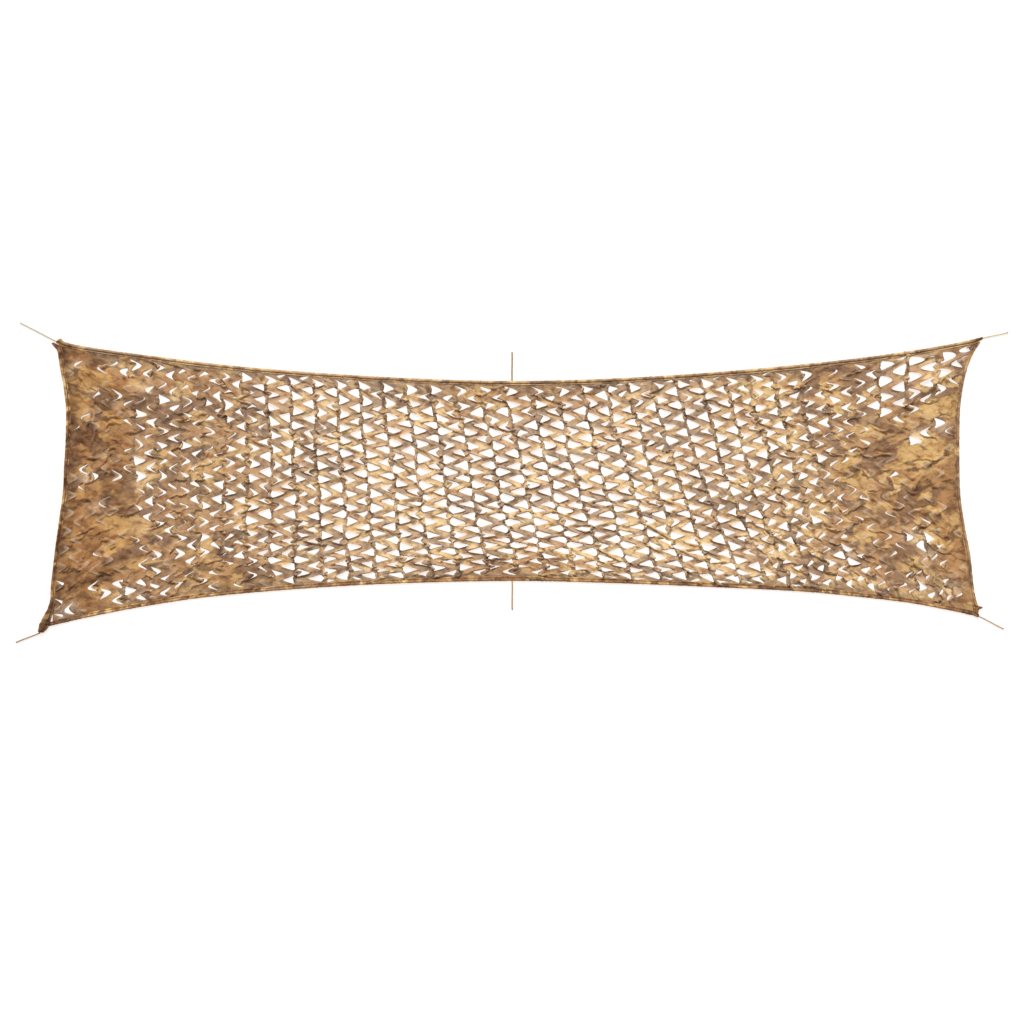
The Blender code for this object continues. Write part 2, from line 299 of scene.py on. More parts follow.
def fold_lift(places):
    """How far the soft folds lift the cloth off the ground."""
    here = places - BOX_SHIFT
    lift = np.zeros(len(here))
    for start_x, start_y, end_x, end_y, width, high in FOLDS:
        start = np.array([start_x, start_y])
        run = np.array([end_x, end_y]) - start
        along = (here - start) @ run / (run @ run)
        aside = far_apart(here - start, along[:, None] * run) / (width / 2)
        on = (along > 0) & (along < 1) & (aside < 1)
        crest = high * np.sin(np.pi * along) * np.cos(np.pi / 2 * aside) ** 2
        lift = np.where(on, np.maximum(lift, crest), lift)
    return lift


def gape_at(places):
    """How far the slits gape, by place."""
    here = places - BOX_SHIFT
    share = smooth(GAPE_ALONG, here[:, 0])
    for x, y, reach_x, reach_y, more in GAPE_SPOTS:
        away = ((here[:, 0] - x) / reach_x) ** 2 + ((here[:, 1] - y) / reach_y) ** 2
        share = share + more * np.exp(-away)
    return np.clip(share, 0, 1)


def closed_at(gape):
    """How far the cloth is closed, from how far its slits gape."""
    return 1 - ease(*CLOSED_GAPE, gape)


def slit_profile():
    """A slit from end to end: how far it stands off its column, and how far up, -1 to 1."""
    t = np.linspace(-1, 1, 2 * SLIT_STEPS + 1)
    q = SLIT_ROUND
    bent = 1 - (np.sqrt(t ** 2 + q ** 2) - q) / (math.sqrt(1 + q ** 2) - q)
    return SLIT_DEEP * bent, t


def slit_table():
    """Every slit's column, row, facing and half height: those right of a column first.

    The last of them are the short slits beside the long bindings.
    """
    short = SHORT_OFF / CELL[1]
    places = [(k, r) for k in range(COLUMNS) for r in range(FULL_ROWS)]
    slits = [(k, r + 1, 1, SLIT_HALF_HIGH) for k, r in places]
    slits += [(k + 1, r + 0.5, -1, SLIT_HALF_HIGH) for k, r in places]
    slits += [(k, short, 1, SHORT_HALF_HIGH) for k in range(COLUMNS)]
    slits += [(k + 1, ROWS - short, -1, SHORT_HALF_HIGH) for k in range(COLUMNS)]
    return np.array(slits, float)


def slit_lines(slits):
    """The points of every slit on the flat cloth."""
    off, rise = slit_profile()
    column, row, facing, half = slits.T[:, :, None]
    x = column * CELL[0] + facing * (SLIT_FROM_COLUMN + off)
    return np.stack([x, row * CELL[1] + half * rise], 2)


def clear_of(points, lines):
    """Which points are well clear of the slits."""
    keep = np.ones(len(points), bool)
    for line in lines:
        for start, end in zip(line, line[1:]):
            run = end - start
            t = np.clip((points - start) @ run / (run @ run), 0, 1)
            keep &= far_apart(points - start, t[:, None] * run) > CLEAR_OF_SLIT * POINT_GAP
    return keep


def cell_points():
    """An even, slightly shaken triangular grid over one cell, clear of the slits."""
    rng = np.random.default_rng(NET_SEED)
    across = round(CELL[0] / POINT_GAP)
    up = 2 * round(CELL[1] / (POINT_GAP * math.sin(math.pi / 3)) / 2)
    i, j = np.meshgrid(np.arange(across), np.arange(up))
    points = np.stack([(i + 0.5 * (j % 2)) / across, (j + 0.5) / up], -1).reshape(-1, 2) * CELL
    points += rng.uniform(-SHAKE, SHAKE, points.shape) * POINT_GAP
    near = [(k, r, 1, SLIT_HALF_HIGH) for k in (-1, 0, 1) for r in (-1, 0, 1, 2)]
    near += [(k, r + 0.5, -1, SLIT_HALF_HIGH) for k in (0, 1, 2) for r in (-1, 0, 1)]
    return points[clear_of(points, slit_lines(np.array(near)))] % CELL


def border_points():
    """Points round the edge of the flat cloth, in order."""
    corners = FLAT_SIZE * [(0, 0), (1, 0), (1, 1), (0, 1)]
    sides = []
    for start, end in zip(corners, np.roll(corners, -1, 0)):
        count = round(np.abs(end - start).max() / POINT_GAP)
        sides.append(start + (end - start) * (np.arange(count) / count)[:, None])
    return np.concatenate(sides)


def inner_points(lines):
    """Even points all over the flat cloth, clear of its slits and its edge."""
    cell = cell_points()
    inner = np.concatenate([
        cell + CELL * (i, j) for i in range(COLUMNS) for j in range(math.ceil(ROWS))
    ])
    margin = EDGE_SPACE * POINT_GAP
    inner = inner[(inner > margin).all(1) & (inner < FLAT_SIZE - margin).all(1)]
    beside = np.minimum(inner[:, 1], FLAT_SIZE[1] - inner[:, 1]) < SHORT_OFF + 2 * SHORT_HALF_HIGH
    beside[beside] = ~clear_of(inner[beside], lines[-2 * COLUMNS:])
    return inner[~beside]


def flat_cloth(slits):
    """The flat cloth as a mesh with its slits cut, and the place of every slit point on it."""
    lines = slit_lines(slits)
    border, inner = border_points(), inner_points(lines)
    points = np.concatenate([border, inner, lines.reshape(-1, 2)])
    first = len(border) + len(inner)
    size = lines.shape[1]
    starts = (first + np.arange(len(slits))[:, None] * size + np.arange(size - 1)).ravel()
    cuts = np.stack([starts, starts + 1], 1)
    rim = [(i, (i + 1) % len(border)) for i in range(len(border))]
    flat, _, triangles, origins, _, _ = delaunay_2d_cdt(
        [Vector(point) for point in points.tolist()], rim + cuts.tolist(), [],
        ALL_TRIANGLES, MERGE_WITHIN, True,
    )
    new = np.empty(len(points), int)
    for i, sources in enumerate(origins):
        for source in sources:
            new[source] = i
    mesh = bpy.data.meshes.new("camouflage_net")
    mesh.from_pydata([(x, y, 0.0) for x, y in flat], [], triangles)
    shape = bmesh.new()
    shape.from_mesh(mesh)
    shape.verts.ensure_lookup_table()
    edges = [shape.edges.get((shape.verts[a], shape.verts[b])) for a, b in new[cuts].tolist()]
    bmesh.ops.split_edges(shape, edges=edges)
    shape.to_mesh(mesh)
    shape.free()
    places = np.array([tuple(point) for point in flat])
    return mesh, places[new[first:]].reshape(lines.shape)


def read(data, name, kind, size=1):
    """One property of all of a mesh's elements, end to end."""
    values = np.empty(len(data) * size, kind)
    data.foreach_get(name, values)
    return values


def triangle_middles(flat, triangles):
    """For each corner of the mesh, the middle of the triangles round it."""
    centres = flat[triangles].mean(1)
    count = np.bincount(triangles.ravel(), minlength=len(flat))
    total = [
        sum(np.bincount(triangles[:, c], centres[:, axis], len(flat)) for c in range(3))
        for axis in range(2)
    ]
    return np.stack(total, 1) / count[:, None]


def partners(pairs, rests, count):
    """A row of partners for each point, and the rest length to each, 0 where there is none."""
    start, end = np.concatenate([pairs, pairs[:, ::-1]]).T
    order = np.argsort(start, kind="stable")
    start, end = start[order], end[order]
    slot = np.arange(len(start)) - np.searchsorted(start, np.arange(count))[start]
    table = np.repeat(np.arange(count)[:, None], slot.max() + 1, 1)
    rest = np.zeros(table.shape, np.float32)
    table[start, slot] = end
    rest[start, slot] = np.tile(rests, 2)[order]
    return table, rest


def facing_pairs(triangles):
    """The two corners that face each other across each inner edge."""
    count = int(triangles.max()) + 1
    a = triangles.T.ravel().astype(np.int64)
    b = np.roll(triangles, -1, 1).T.ravel().astype(np.int64)
    across = np.roll(triangles, -2, 1).T.ravel()
    key = np.minimum(a, b) * count + np.maximum(a, b)
    order = np.argsort(key, kind="stable")
    key, across = key[order], across[order]
    same = np.nonzero(key[1:] == key[:-1])[0]
    return np.stack([across[same], across[same + 1]], 1)


# --------------------
# How the tongues inside the slits are turned. Where a slit gapes, its tongue is turned over or
# under its column, or is drawn together from its two sides into a ridge.

FLIP_FROM, FLIP_TO, FLIP_MOST = 0.2, 1.05, 0.78
FLIPPED = (0.78 * math.pi, 1.1 * math.pi)
FOLD_NEAR = (0.0, 0.003)  # how far off the column a tongue turns, at its base
FOLD_SHARE = (0.47, 0.2)  # and its share of the tongue: little and wide gape
FOLD_GAPE = (0.1, 0.95)  # the gapes of these two shares
FOLD_UNEVEN, FOLD_LIMITS = 0.12, (0.02, 0.8)
SIDE_FOLD = 0.55  # that share for the outermost tongues, at the bindings
TURN_SHARE = (0.16, 0.38)  # how much of the rest of the tongue the turn takes
TURN_LEAST = 0.009
UNDER_SHARE = 0.5
RIDGE_FROM, RIDGE_TO = 0.08, 0.6  # the gape at which ridges begin, and stand fully
RIDGE_NARROW = (0.3, 0.65)  # how much a ridge narrows its tongue
RIDGE_SHORT = (0.1, 0.42)  # and shortens it
RIDGE_TOP = 0.016
GAPE_UNEVEN = 0.12
SHORT_GAPE = 0.2  # how much less the short slits gape
SHUT_BELOW = 0.15  # the gape below which a slit with its tongue flat is shut
SHUT_LAP = (0.0015, 0.0009)  # how far a shut slit's tongue laps over: out and up
OPEN_COLUMNS, OPEN_ROWS = (16, 18, 20), (3, 6, 9, 12)  # the slits that surely stand open
OPEN_OFF = 0.25  # and how far off their columns, in cells
OPEN_SHARE, OPEN_REACH = 0.05, 0.095
# How much painted shade each slit's tongue crook and ends get varies from slit to slit.
DARK_SPREAD = (-0.3, 1.5)  # how dark the crooks of the tongues are, before clipping
LOW_MOST = 0.001
LEAST_ANGLE = 1e-3


def sure_openings(flat):
    """How close points are to the slits that surely stand open, from 0 to 1."""
    near = np.zeros(len(flat))
    for column in OPEN_COLUMNS:
        for row in OPEN_ROWS:
            away = far_apart(flat, CELL * (column + OPEN_OFF, row)) / OPEN_REACH
            near = np.maximum(near, np.exp(-away ** 2))
    return near


def slit_turns(slits, rng):
    """How each slit's tongue is turned: under each name, one value for each slit."""
    count = len(slits)
    column, row, facing = slits[:, 0], slits[:, 1], slits[:, 2]
    middle = slits[:, :2] * CELL
    middle[:, 0] += facing * SLIT_DEEP / 2
    gape = np.clip(gape_at(lattice(middle)) + rng.normal(0, GAPE_UNEVEN, count), 0, 1)
    gape[-2 * COLUMNS:] *= SHORT_GAPE
    flipped = rng.random(count) < FLIP_MOST * ease(FLIP_FROM, FLIP_TO, gape)
    little, wide = FOLD_SHARE
    share = little + (wide - little) * ease(*FOLD_GAPE, gape)
    share = np.clip(share + rng.normal(0, FOLD_UNEVEN, count), *FOLD_LIMITS)
    sure = np.isin(column, OPEN_COLUMNS) & np.isin(row, OPEN_ROWS) & (facing > 0)
    flipped[sure] = True
    share[sure] = OPEN_SHARE
    beside = (column == 0) | (column == COLUMNS)
    share[beside] = np.maximum(share[beside], SIDE_FOLD)
    angle = np.where(flipped, rng.uniform(*FLIPPED, count), 0.0)
    under = rng.random(count) < UNDER_SHARE
    near = rng.uniform(*FOLD_NEAR, count) * ~sure
    rest = (1 - share) * SLIT_DEEP
    width = np.maximum(rest * rng.uniform(*TURN_SHARE, count), TURN_LEAST)
    ridge = ease(RIDGE_FROM, RIDGE_TO, gape) * ~flipped
    return SimpleNamespace(
        flipped=flipped, shut=(gape < SHUT_BELOW) & ~flipped, share=share, angle=angle,
        under=under, near=near, width=width,
        narrow=ridge * rng.uniform(*RIDGE_NARROW, count),
        short=ridge * rng.uniform(*RIDGE_SHORT, count),
        dark=np.clip(rng.uniform(*DARK_SPREAD, count), 0, 1),
        low=rng.uniform(0, LOW_MOST, count),
    )


def tongue_points(flat, triangles, slits, turns):
    """For each point, which slit's tongue holds it (-1 for none), and where on the tongue it is.

    Where it is: how far off its column, how far the tongue reaches at that height, which way
    it faces, how far above the tongue's middle, and how tall the tongue is there, by halves.
    """
    off, rise = slit_profile()
    probe = flat + TOWARDS_MIDDLE * (triangle_middles(flat, triangles) - flat)
    across, up = (probe / CELL).T
    right = np.clip(np.floor(across), 0, COLUMNS - 1)
    low = np.clip(np.round(up), 1, FULL_ROWS)
    high = np.clip(np.round(up - 0.5), 0, FULL_ROWS - 1)
    groups = [right * FULL_ROWS + low - 1, EACH_WAY + right * FULL_ROWS + high]
    groups += [2 * EACH_WAY + right, 2 * EACH_WAY + COLUMNS + right]
    owner = np.full(len(flat), -1)
    where = np.zeros((5, len(flat)))
    for group in groups:
        index = group.astype(int)
        column, row, way, half = slits[index].T
        up = (probe[:, 1] - row * CELL[1]) / half
        out = way * (probe[:, 0] - column * CELL[0])
        limit = np.interp(up, rise, off, left=-1, right=-1)
        inside = (np.abs(up) < 1) & (out - SLIT_FROM_COLUMN < limit) & (out > 0)
        reach = way * (flat[:, 0] - column * CELL[0])
        level = flat[:, 1] - row * CELL[1]
        far = np.maximum(reach - SLIT_FROM_COLUMN, 0)
        tall = half * np.interp(far, off[:SLIT_STEPS + 1], -rise[:SLIT_STEPS + 1])
        owner[inside] = index[inside]
        where[:, inside] = np.stack([reach, limit, way, level, tall])[:, inside]
    tongue = SimpleNamespace(owner=owner, held=owner >= 0)
    tongue.reach, tongue.outline, tongue.facing, tongue.level, tongue.tall = where
    for name, values in vars(turns).items():
        setattr(tongue, name, values[owner])
    tongue.fold = tongue.near + tongue.share * tongue.outline
    return tongue


def turned(tongue):
    """Each point's run beyond its tongue's fold, and how far out and up the turn takes it."""
    run = np.where(tongue.held & tongue.flipped, np.maximum(tongue.reach - tongue.fold, 0), 0)
    angle = tongue.angle * tongue.held
    radius = tongue.width / np.maximum(angle, LEAST_ANGLE)
    bent = np.minimum(run, tongue.width)
    out = radius * np.sin(bent / radius) + (run - bent) * np.cos(angle)
    up = radius * (1 - np.cos(bent / radius)) + (run - bent) * np.sin(angle)
    return run, out, up * np.where(tongue.under, -1.0, 1.0)


def ridged(tongue):
    """How far in, how far towards its middle, and how high a ridge takes each point."""
    along = np.clip(tongue.reach / (SLIT_FROM_COLUMN + SLIT_DEEP), 0, 1) * tongue.held
    narrow = tongue.narrow * np.sqrt(along)
    back = tongue.short * along * tongue.reach
    steep = np.sqrt(1 - (1 - narrow) ** 2)
    high = np.minimum(np.maximum(tongue.tall - np.abs(tongue.level), 0) * steep, RIDGE_TOP)
    return back, narrow * tongue.level, high * tongue.held


def slit_sides(flat, owner, lines):
    """The corners of the mesh at each slit point: on the strand's side, and on the tongue's."""
    strand, tongue = {}, {}
    for i, place in enumerate(flat.tolist()):
        (tongue if owner[i] >= 0 else strand).setdefault(tuple(place), i)
    wanted = lines.reshape(-1, 2).astype(np.float32).tolist()
    return [
        np.array([known[tuple(place)] for place in wanted]).reshape(lines.shape[:2])
        for known in (tongue | strand, strand | tongue)
    ]


# --------------------
# How the cloth is laid, what holds it, and how it settles.

LIE = 0.0045  # how high the cloth's edge lies in the bindings
FREE_BY = 0.035  # how far from its edge the cloth is free
LAID_HIGH, ARCH_HIGH, ARCH_BY = 0.0045, 0.008, 0.05
WRINKLE_HIGH, WRINKLE_LONG = 0.005, 0.06
START_SHAKE = 0.0006
WRINKLE_SEED, PATCHY_SEED = SHAPE_SEED + 13, SHAPE_SEED + 9
CREASED = 1.03  # slack of closed cloth
LAP = 0.08  # how much longer its tongues are, so that they overlap
SEWN = (0.004, 0.03)  # from the edge: cloth that is sewn, and cloth that isn't
STRAND_TIGHT = 0.16  # how much narrower a strand gets where the slits gape widest
NECK_TIGHT = 0.4  # and the cloth between two slits of a column
UNEVEN = (0.45, 1.5)
OPEN_TIGHTER = 1.3  # how much more the strands at the sure openings narrow
OPEN_HOLD = 0.3  # and how much more firmly the knots there are held
SQUEEZE, SPINE_SQUEEZE = 1.45, 0.35  # how the cloth resists crowding, and its columns
SPINE_EDGE = (0.008, 0.018)
KNOT_HALF = (0.01, 0.009)
KNOT_PULL, KNOT_SHAKE = 0.1, 0.0068
ZIGZAG_MOST, ZIGZAG_GAPE = 0.016, 0.5
WANDERS = [(0.0035, 0.6), (0.0045, 0.17)]  # how far the lattice strays, and how slowly
FLOOR_GAP, ABOVE_TONGUES, LAP_HIGH = 0.0006, 0.0024, 0.0045
TUCKED_HIGH, TUCKED_FROM = 0.0016, 0.8
TOP_LIMIT = 0.03
PROBE = 0.004
KEEP_SPEED, WEIGHT = 0.9, 0.00002
STRETCH_HOLD, BEND_HOLD, TIE_HOLD = 1.6, 0.12, 0.35
SETTLE_STEPS, QUICK_STEPS = 300, 120
EVEN_PASSES = 3


def lattice_step(flat, axis):
    """The lattice's step beside each point of the flat cloth, along one axis."""
    step = PROBE * np.eye(2)[axis]
    return lattice(flat + step) - lattice(flat - step)


def laid_shift(flat, free, gape, sure):
    """How far points are off the lattice: its knots' zigzag, and its unevenness."""
    wide, tall = (
        np.linalg.norm(lattice_step(flat, axis), axis=1) * CELL[axis] / (2 * PROBE)
        for axis in (0, 1)
    )
    strand = math.hypot(CELL[0], CELL[1] / 2)
    spare = wide - np.sqrt(np.maximum(strand ** 2 - tall ** 2 / 4, 0))
    shift = np.zeros((len(flat), 2))
    shift[:, 0] = -np.clip(spare / 2, 0, ZIGZAG_MOST) * np.cos(2 * np.pi * flat[:, 1] / CELL[1])
    shift *= ease(0.0, ZIGZAG_GAPE, gape)[:, None]
    for order, (far, length) in enumerate(WANDERS):
        for axis in range(2):
            stray = ripple(flat, length, SHAPE_SEED + 5 * order + axis)
            shift[:, axis] += far * (1 - sure) * stray
    return shift * free[:, None]


def survey(mesh, slits, lines, turns):
    """What is known of each point of the cloth before it is laid."""
    flat = read(mesh.vertices, "co", np.float32, 3).reshape(-1, 3)[:, :2].astype(float)
    triangles = read(mesh.loops, "vertex_index", np.int32).reshape(-1, 3)
    tongue = tongue_points(flat, triangles, slits, turns)
    from_edge = np.minimum(flat, FLAT_SIZE - flat).min(1)
    free = ease(0.0, FREE_BY, from_edge)
    base = lattice(flat)
    gape = gape_at(base)
    sure = sure_openings(flat)
    half_cell = CELL * (1, 0.5)
    knot = np.round(flat / half_cell).astype(int)
    return SimpleNamespace(
        flat=flat, triangles=triangles, tongue=tongue, from_edge=from_edge, free=free,
        edges=read(mesh.edges, "vertices", np.int32, 2).reshape(-1, 2),
        border=from_edge < TINY, base=base, gape=gape, sure=sure, knot=knot,
        in_knot=(np.abs(flat - knot * half_cell) < KNOT_HALF).all(1),
        off_column=np.abs(flat[:, 0] - knot[:, 0] * CELL[0]),
        laps=tongue.held & ~tongue.flipped, sides=slit_sides(flat, tongue.owner, lines),
        shift=laid_shift(flat, free, gape, sure), lift=fold_lift(base) * free,
    )


def lay(cloth, rng):
    """Where each point starts, its tongue turned, and where it would be on the flat cloth."""
    tongue, gape, free = cloth.tongue, cloth.gape, cloth.free
    run, out, up = turned(tongue)
    back, aside, ridge = ridged(tongue)
    root = cloth.flat - np.stack([tongue.facing * (run + back), aside], 1)
    out = tongue.facing * out
    start = np.zeros((len(root), 3))
    start[:, :2] = lattice(root) + out[:, None] * unit(lattice_step(root, 0)) + cloth.shift
    start[:, 2] = LAID_HIGH + ARCH_HIGH * gape * np.clip(cloth.from_edge / ARCH_BY, 0, 1)
    wrinkle = 1 + ripple(cloth.flat, WRINKLE_LONG, WRINKLE_SEED)
    start[:, 2] += WRINKLE_HIGH * (1 - gape) * free * wrinkle
    start[:, 2] += up + ridge + cloth.lift + rng.normal(0, START_SHAKE, len(root))
    return start, np.stack([root[:, 0] + out, root[:, 1], up + ridge], 1), run


def holds(cloth, run, rng):
    """What holds the cloth: the bindings all round, the knots a little, the ground below.

    For each point, its target, how firmly it is pulled there, and its lowest and highest place.
    """
    tongue, free, sure = cloth.tongue, cloth.free, cloth.sure
    shake = rng.normal(0, KNOT_SHAKE, (COLUMNS + 1, int(2 * ROWS) + 2, 2))
    shake = shake[cloth.knot[:, 0], cloth.knot[:, 1]]
    target = np.zeros((len(free), 3))
    target[:, :2] = cloth.base + cloth.shift + (free * (1 - sure))[:, None] * shake
    target[:, 2] = LIE + cloth.lift * (1 - cloth.border)
    pull = np.where(cloth.in_knot, KNOT_PULL + OPEN_HOLD * sure, 0.0)
    pull = np.where(cloth.border, 1.0, pull)
    on_top = cloth.laps & ~tongue.under
    low = FLOOR_GAP + cloth.lift + tongue.low * tongue.held
    low += ABOVE_TONGUES * (~tongue.held | on_top)
    low += LAP_HIGH * on_top * np.clip(tongue.reach / SLIT_DEEP, 0, 1) * free
    tucked = tongue.under & (run > TUCKED_FROM * tongue.width)
    return target, pull, low, np.where(tucked, low + TUCKED_HIGH, TOP_LIMIT)


def lengths(points, pairs):
    """How far apart the two points of each pair are."""
    return far_apart(points[pairs[:, 0]], points[pairs[:, 1]])


def cloth_springs(cloth, folded):
    """Springs along the mesh, as long as the cloth as cut, and across its edges, as folded."""
    base, gape, edges = cloth.base, cloth.gape, cloth.edges
    along = lengths(cloth.flat, edges)
    placed = lengths(base, edges)
    slack = CREASED + LAP * cloth.laps[edges].min(1)
    along += closed_at(gape[edges].mean(1)) * (slack * placed - along)
    sewn = 1 - ease(*SEWN, cloth.from_edge[edges].mean(1))
    along += sewn * np.maximum(placed - along, 0)
    pairs = facing_pairs(cloth.triangles)
    across = lengths(folded, pairs)
    level = np.abs(folded[pairs, 2]).max(1) < TINY
    closed = level * closed_at(gape[pairs].mean(1))
    across += closed * (CREASED * lengths(base, pairs) - across)
    return partners(edges, along, len(base)), partners(pairs, across, len(base))


def strand_ties(cloth, rng):
    """Springs that draw the two edges of each strand together, as its cloth curls."""
    side = cloth.sides[0]
    last = 2 * SLIT_STEPS
    right = side[:EACH_WAY].reshape(COLUMNS, FULL_ROWS, -1)
    left = side[EACH_WAY:2 * EACH_WAY].reshape(COLUMNS, FULL_ROWS, -1)
    uneven = rng.uniform(*UNEVEN, (3, COLUMNS, FULL_ROWS))
    groups = []
    for i in range(SLIT_STEPS + 1):
        start, end = right[:, :-1, last - i], left[:, 1:, SLIT_STEPS - i]
        groups.append((start, end, STRAND_TIGHT * uneven[0, :, :-1]))
        start, end = right[:, :, i], left[:, :, SLIT_STEPS + i]
        groups.append((start, end, STRAND_TIGHT * uneven[1]))
    for half in (right, left):
        groups.append((half[:, :-1, last], half[:, 1:, 0], NECK_TIGHT * uneven[2, :, :-1]))
    ties = []
    for starts, ends, tight in groups:
        a, b = starts.ravel(), ends.ravel()
        far = far_apart(cloth.flat[a], cloth.flat[b])
        placed = far_apart(cloth.base[a], cloth.base[b])
        far += (placed - far) * closed_at(cloth.gape[a])
        far *= 1 - tight.ravel() * (1 + OPEN_TIGHTER * cloth.sure[a]) * cloth.gape[a]
        ties.append((a, b, far.astype(np.float32)))
    return ties


def weigh(springs, hold):
    """The same springs, with each one's share in the move of its point."""
    table, rest = springs
    real = rest > 0
    share = 0.5 * hold / np.maximum(real.sum(1), 1)
    return table, rest, (real * share[:, None]).astype(np.float32)


def spring_moves(place, springs, squeeze=None):
    """How far springs move the points. With squeeze, they resist stretch and crowding unlike."""
    table, rest, share = springs
    gaps = [place[:, axis][table] - place[:, axis][:, None] for axis in range(3)]
    length = np.sqrt(gaps[0] ** 2 + gaps[1] ** 2 + gaps[2] ** 2) + NEVER_ZERO
    force = 1 - rest / length
    if squeeze is not None:
        force *= np.where(force > 0, np.float32(STRETCH_HOLD), squeeze[:, None])
    force *= share
    return np.stack([(force * gap).sum(1) for gap in gaps], 1)


def relax(place, springs, bends, ties, target, pull, low, high, squeeze):
    """Lets the cloth settle: each step is one averaged pass over all its springs."""
    springs, bends = weigh(springs, 1.0), weigh(bends, BEND_HOLD)
    old = place
    steps = SETTLE_STEPS
    for _ in range(steps):
        new = place + KEEP_SPEED * (place - old)
        new[:, 2] -= WEIGHT
        move = spring_moves(new, springs, squeeze) + spring_moves(new, bends)
        for a, b, far in ties:
            gap = new[b] - new[a]
            length = np.sqrt((gap ** 2).sum(1)) + NEVER_ZERO
            shift = (TIE_HOLD / 2 * np.maximum(1 - far / length, 0))[:, None] * gap
            move[a] += shift
            move[b] -= shift
        new += move
        new += pull[:, None] * (target - new)
        new[:, 2] = np.clip(new[:, 2], low, high)
        place, old = new, place
    return place


def even_edges(place, sides):
    """Evens out the cut edges of the slits, which scissors leave smooth."""
    for _ in range(EVEN_PASSES):
        for side in sides:
            line = place[side]
            line[:, 1:-1] += 0.5 * (0.5 * (line[:, :-2] + line[:, 2:]) - line[:, 1:-1])
            place[side[:, 1:-1]] = line[:, 1:-1]


def settle_cloth(mesh, slits, lines):
    """Lays the flat cloth on the stretched lattice, lets it settle, and works out its layers:
    painted light and shade, and the turned-over back.
    """
    rng = np.random.default_rng(SHAPE_SEED)
    turns = slit_turns(slits, rng)
    cloth = survey(mesh, slits, lines, turns)
    start, folded, run = lay(cloth, rng)
    target, pull, low, high = holds(cloth, run, rng)
    springs, bends = cloth_springs(cloth, folded)
    ties = strand_ties(cloth, rng)
    shut = np.nonzero(turns.shut)[0]
    strand, tongue = (side[shut, 1:-1] for side in cloth.sides)
    ties.append((strand.ravel(), tongue.ravel(), np.zeros(strand.size, np.float32)))
    spine = 1 - ease(*SPINE_EDGE, cloth.off_column)
    squeeze = SQUEEZE - (SQUEEZE - SPINE_SQUEEZE) * spine * cloth.gape
    given = [part.astype(np.float32) for part in (start, target, pull, low, high, squeeze)]
    settled = relax(given[0], springs, bends, ties, *given[1:])
    even_edges(settled, cloth.sides)
    settled[tongue, 0] += SHUT_LAP[0] * slits[shut, 2][:, None]
    settled[tongue, 1] += SHUT_LAP[1] * slit_profile()[1][1:-1]
    settled[:, 2] = np.clip(settled[:, 2], low, high)
    mesh.vertices.foreach_set("co", settled.ravel())
    mesh.update()
    for name, values in cloth_shades(cloth, turns, run).items():
        layer = mesh.attributes.new(name, "FLOAT", "POINT")
        layer.data.foreach_set("value", values.astype(np.float32))
    return cloth.flat


# --------------------
# Painted light and shade on the cloth, and the paler back of turned tongues, as values for its
# material.

# How patchy the painted light and shade on the slits' edges and along the columns is.
PATCHY_MIDDLE, PATCHY_SPREAD, PATCHY_LONG = 0.7, 0.45, 0.06
PATCHY_LEAST, PATCHY_GAPE = 0.12, 0.5  # the edges' shades where the slits are shut
# Painted shade in the folds: in the crooks of turned tongues, along the columns and at the slits'
# ends.
FOLD_DARK_OFF, FOLD_DARK_WIDE = 0.0025, 0.0085
CROOK_DARK, SPINE_DARK, TIP_LIGHT_AND_SHADE = 0.95, 0.9, 0.5
SPINE_DARK_EDGE, SPINE_DARK_GAPE = (0.002, 0.01), (0.15, 0.7)
CORNER_GAPE = (0.05, 0.5)
TIP_FROM = 0.35
OVER_FROM = 0.5
# Painted shade where the cloth is closed, less of it towards the right end.
RIGHT_LESS_SHADED, LESS_SHADED_ALONG = 0.48, (-1.0, 1.0)
# Painted shade beside the bindings: how far it reaches, and how strong it is beside each.
BINDING_SHADE_REACH = (0.012, 0.08)
BINDING_SHADE = (1.0, 0.32, 0.75, 0.62)  # beside the left, right, bottom and top bindings


def binding_shade(flat):
    """How much painted shade the cloth gets beside each binding."""
    away = (flat[:, 0], FLAT_SIZE[0] - flat[:, 0], flat[:, 1], FLAT_SIZE[1] - flat[:, 1])
    return np.max([most * (1 - ease(*BINDING_SHADE_REACH, far)) for most, far in zip(BINDING_SHADE, away)], axis=0)


def painted_fold_shade(cloth, turns, patchy):
    """How much painted shade the folds get: the crooks of turned tongues, the columns, the slits'
    ends.
    """
    tongue, gape = cloth.tongue, cloth.gape
    off = (tongue.reach - tongue.fold + FOLD_DARK_OFF) / FOLD_DARK_WIDE
    crook = CROOK_DARK * np.exp(-off ** 2) * tongue.dark * (tongue.held & tongue.flipped)
    spine = (1 - ease(*SPINE_DARK_EDGE, cloth.off_column)) * ease(*SPINE_DARK_GAPE, gape)
    fold_shade = np.maximum(crook, SPINE_DARK * spine * patchy ** 2)
    ends = cloth.sides[0][:, [0, -1]]
    fold_shade[ends] = np.maximum(fold_shade[ends], turns.dark[:, None] * ease(*CORNER_GAPE, gape[ends]))
    return fold_shade * cloth.free


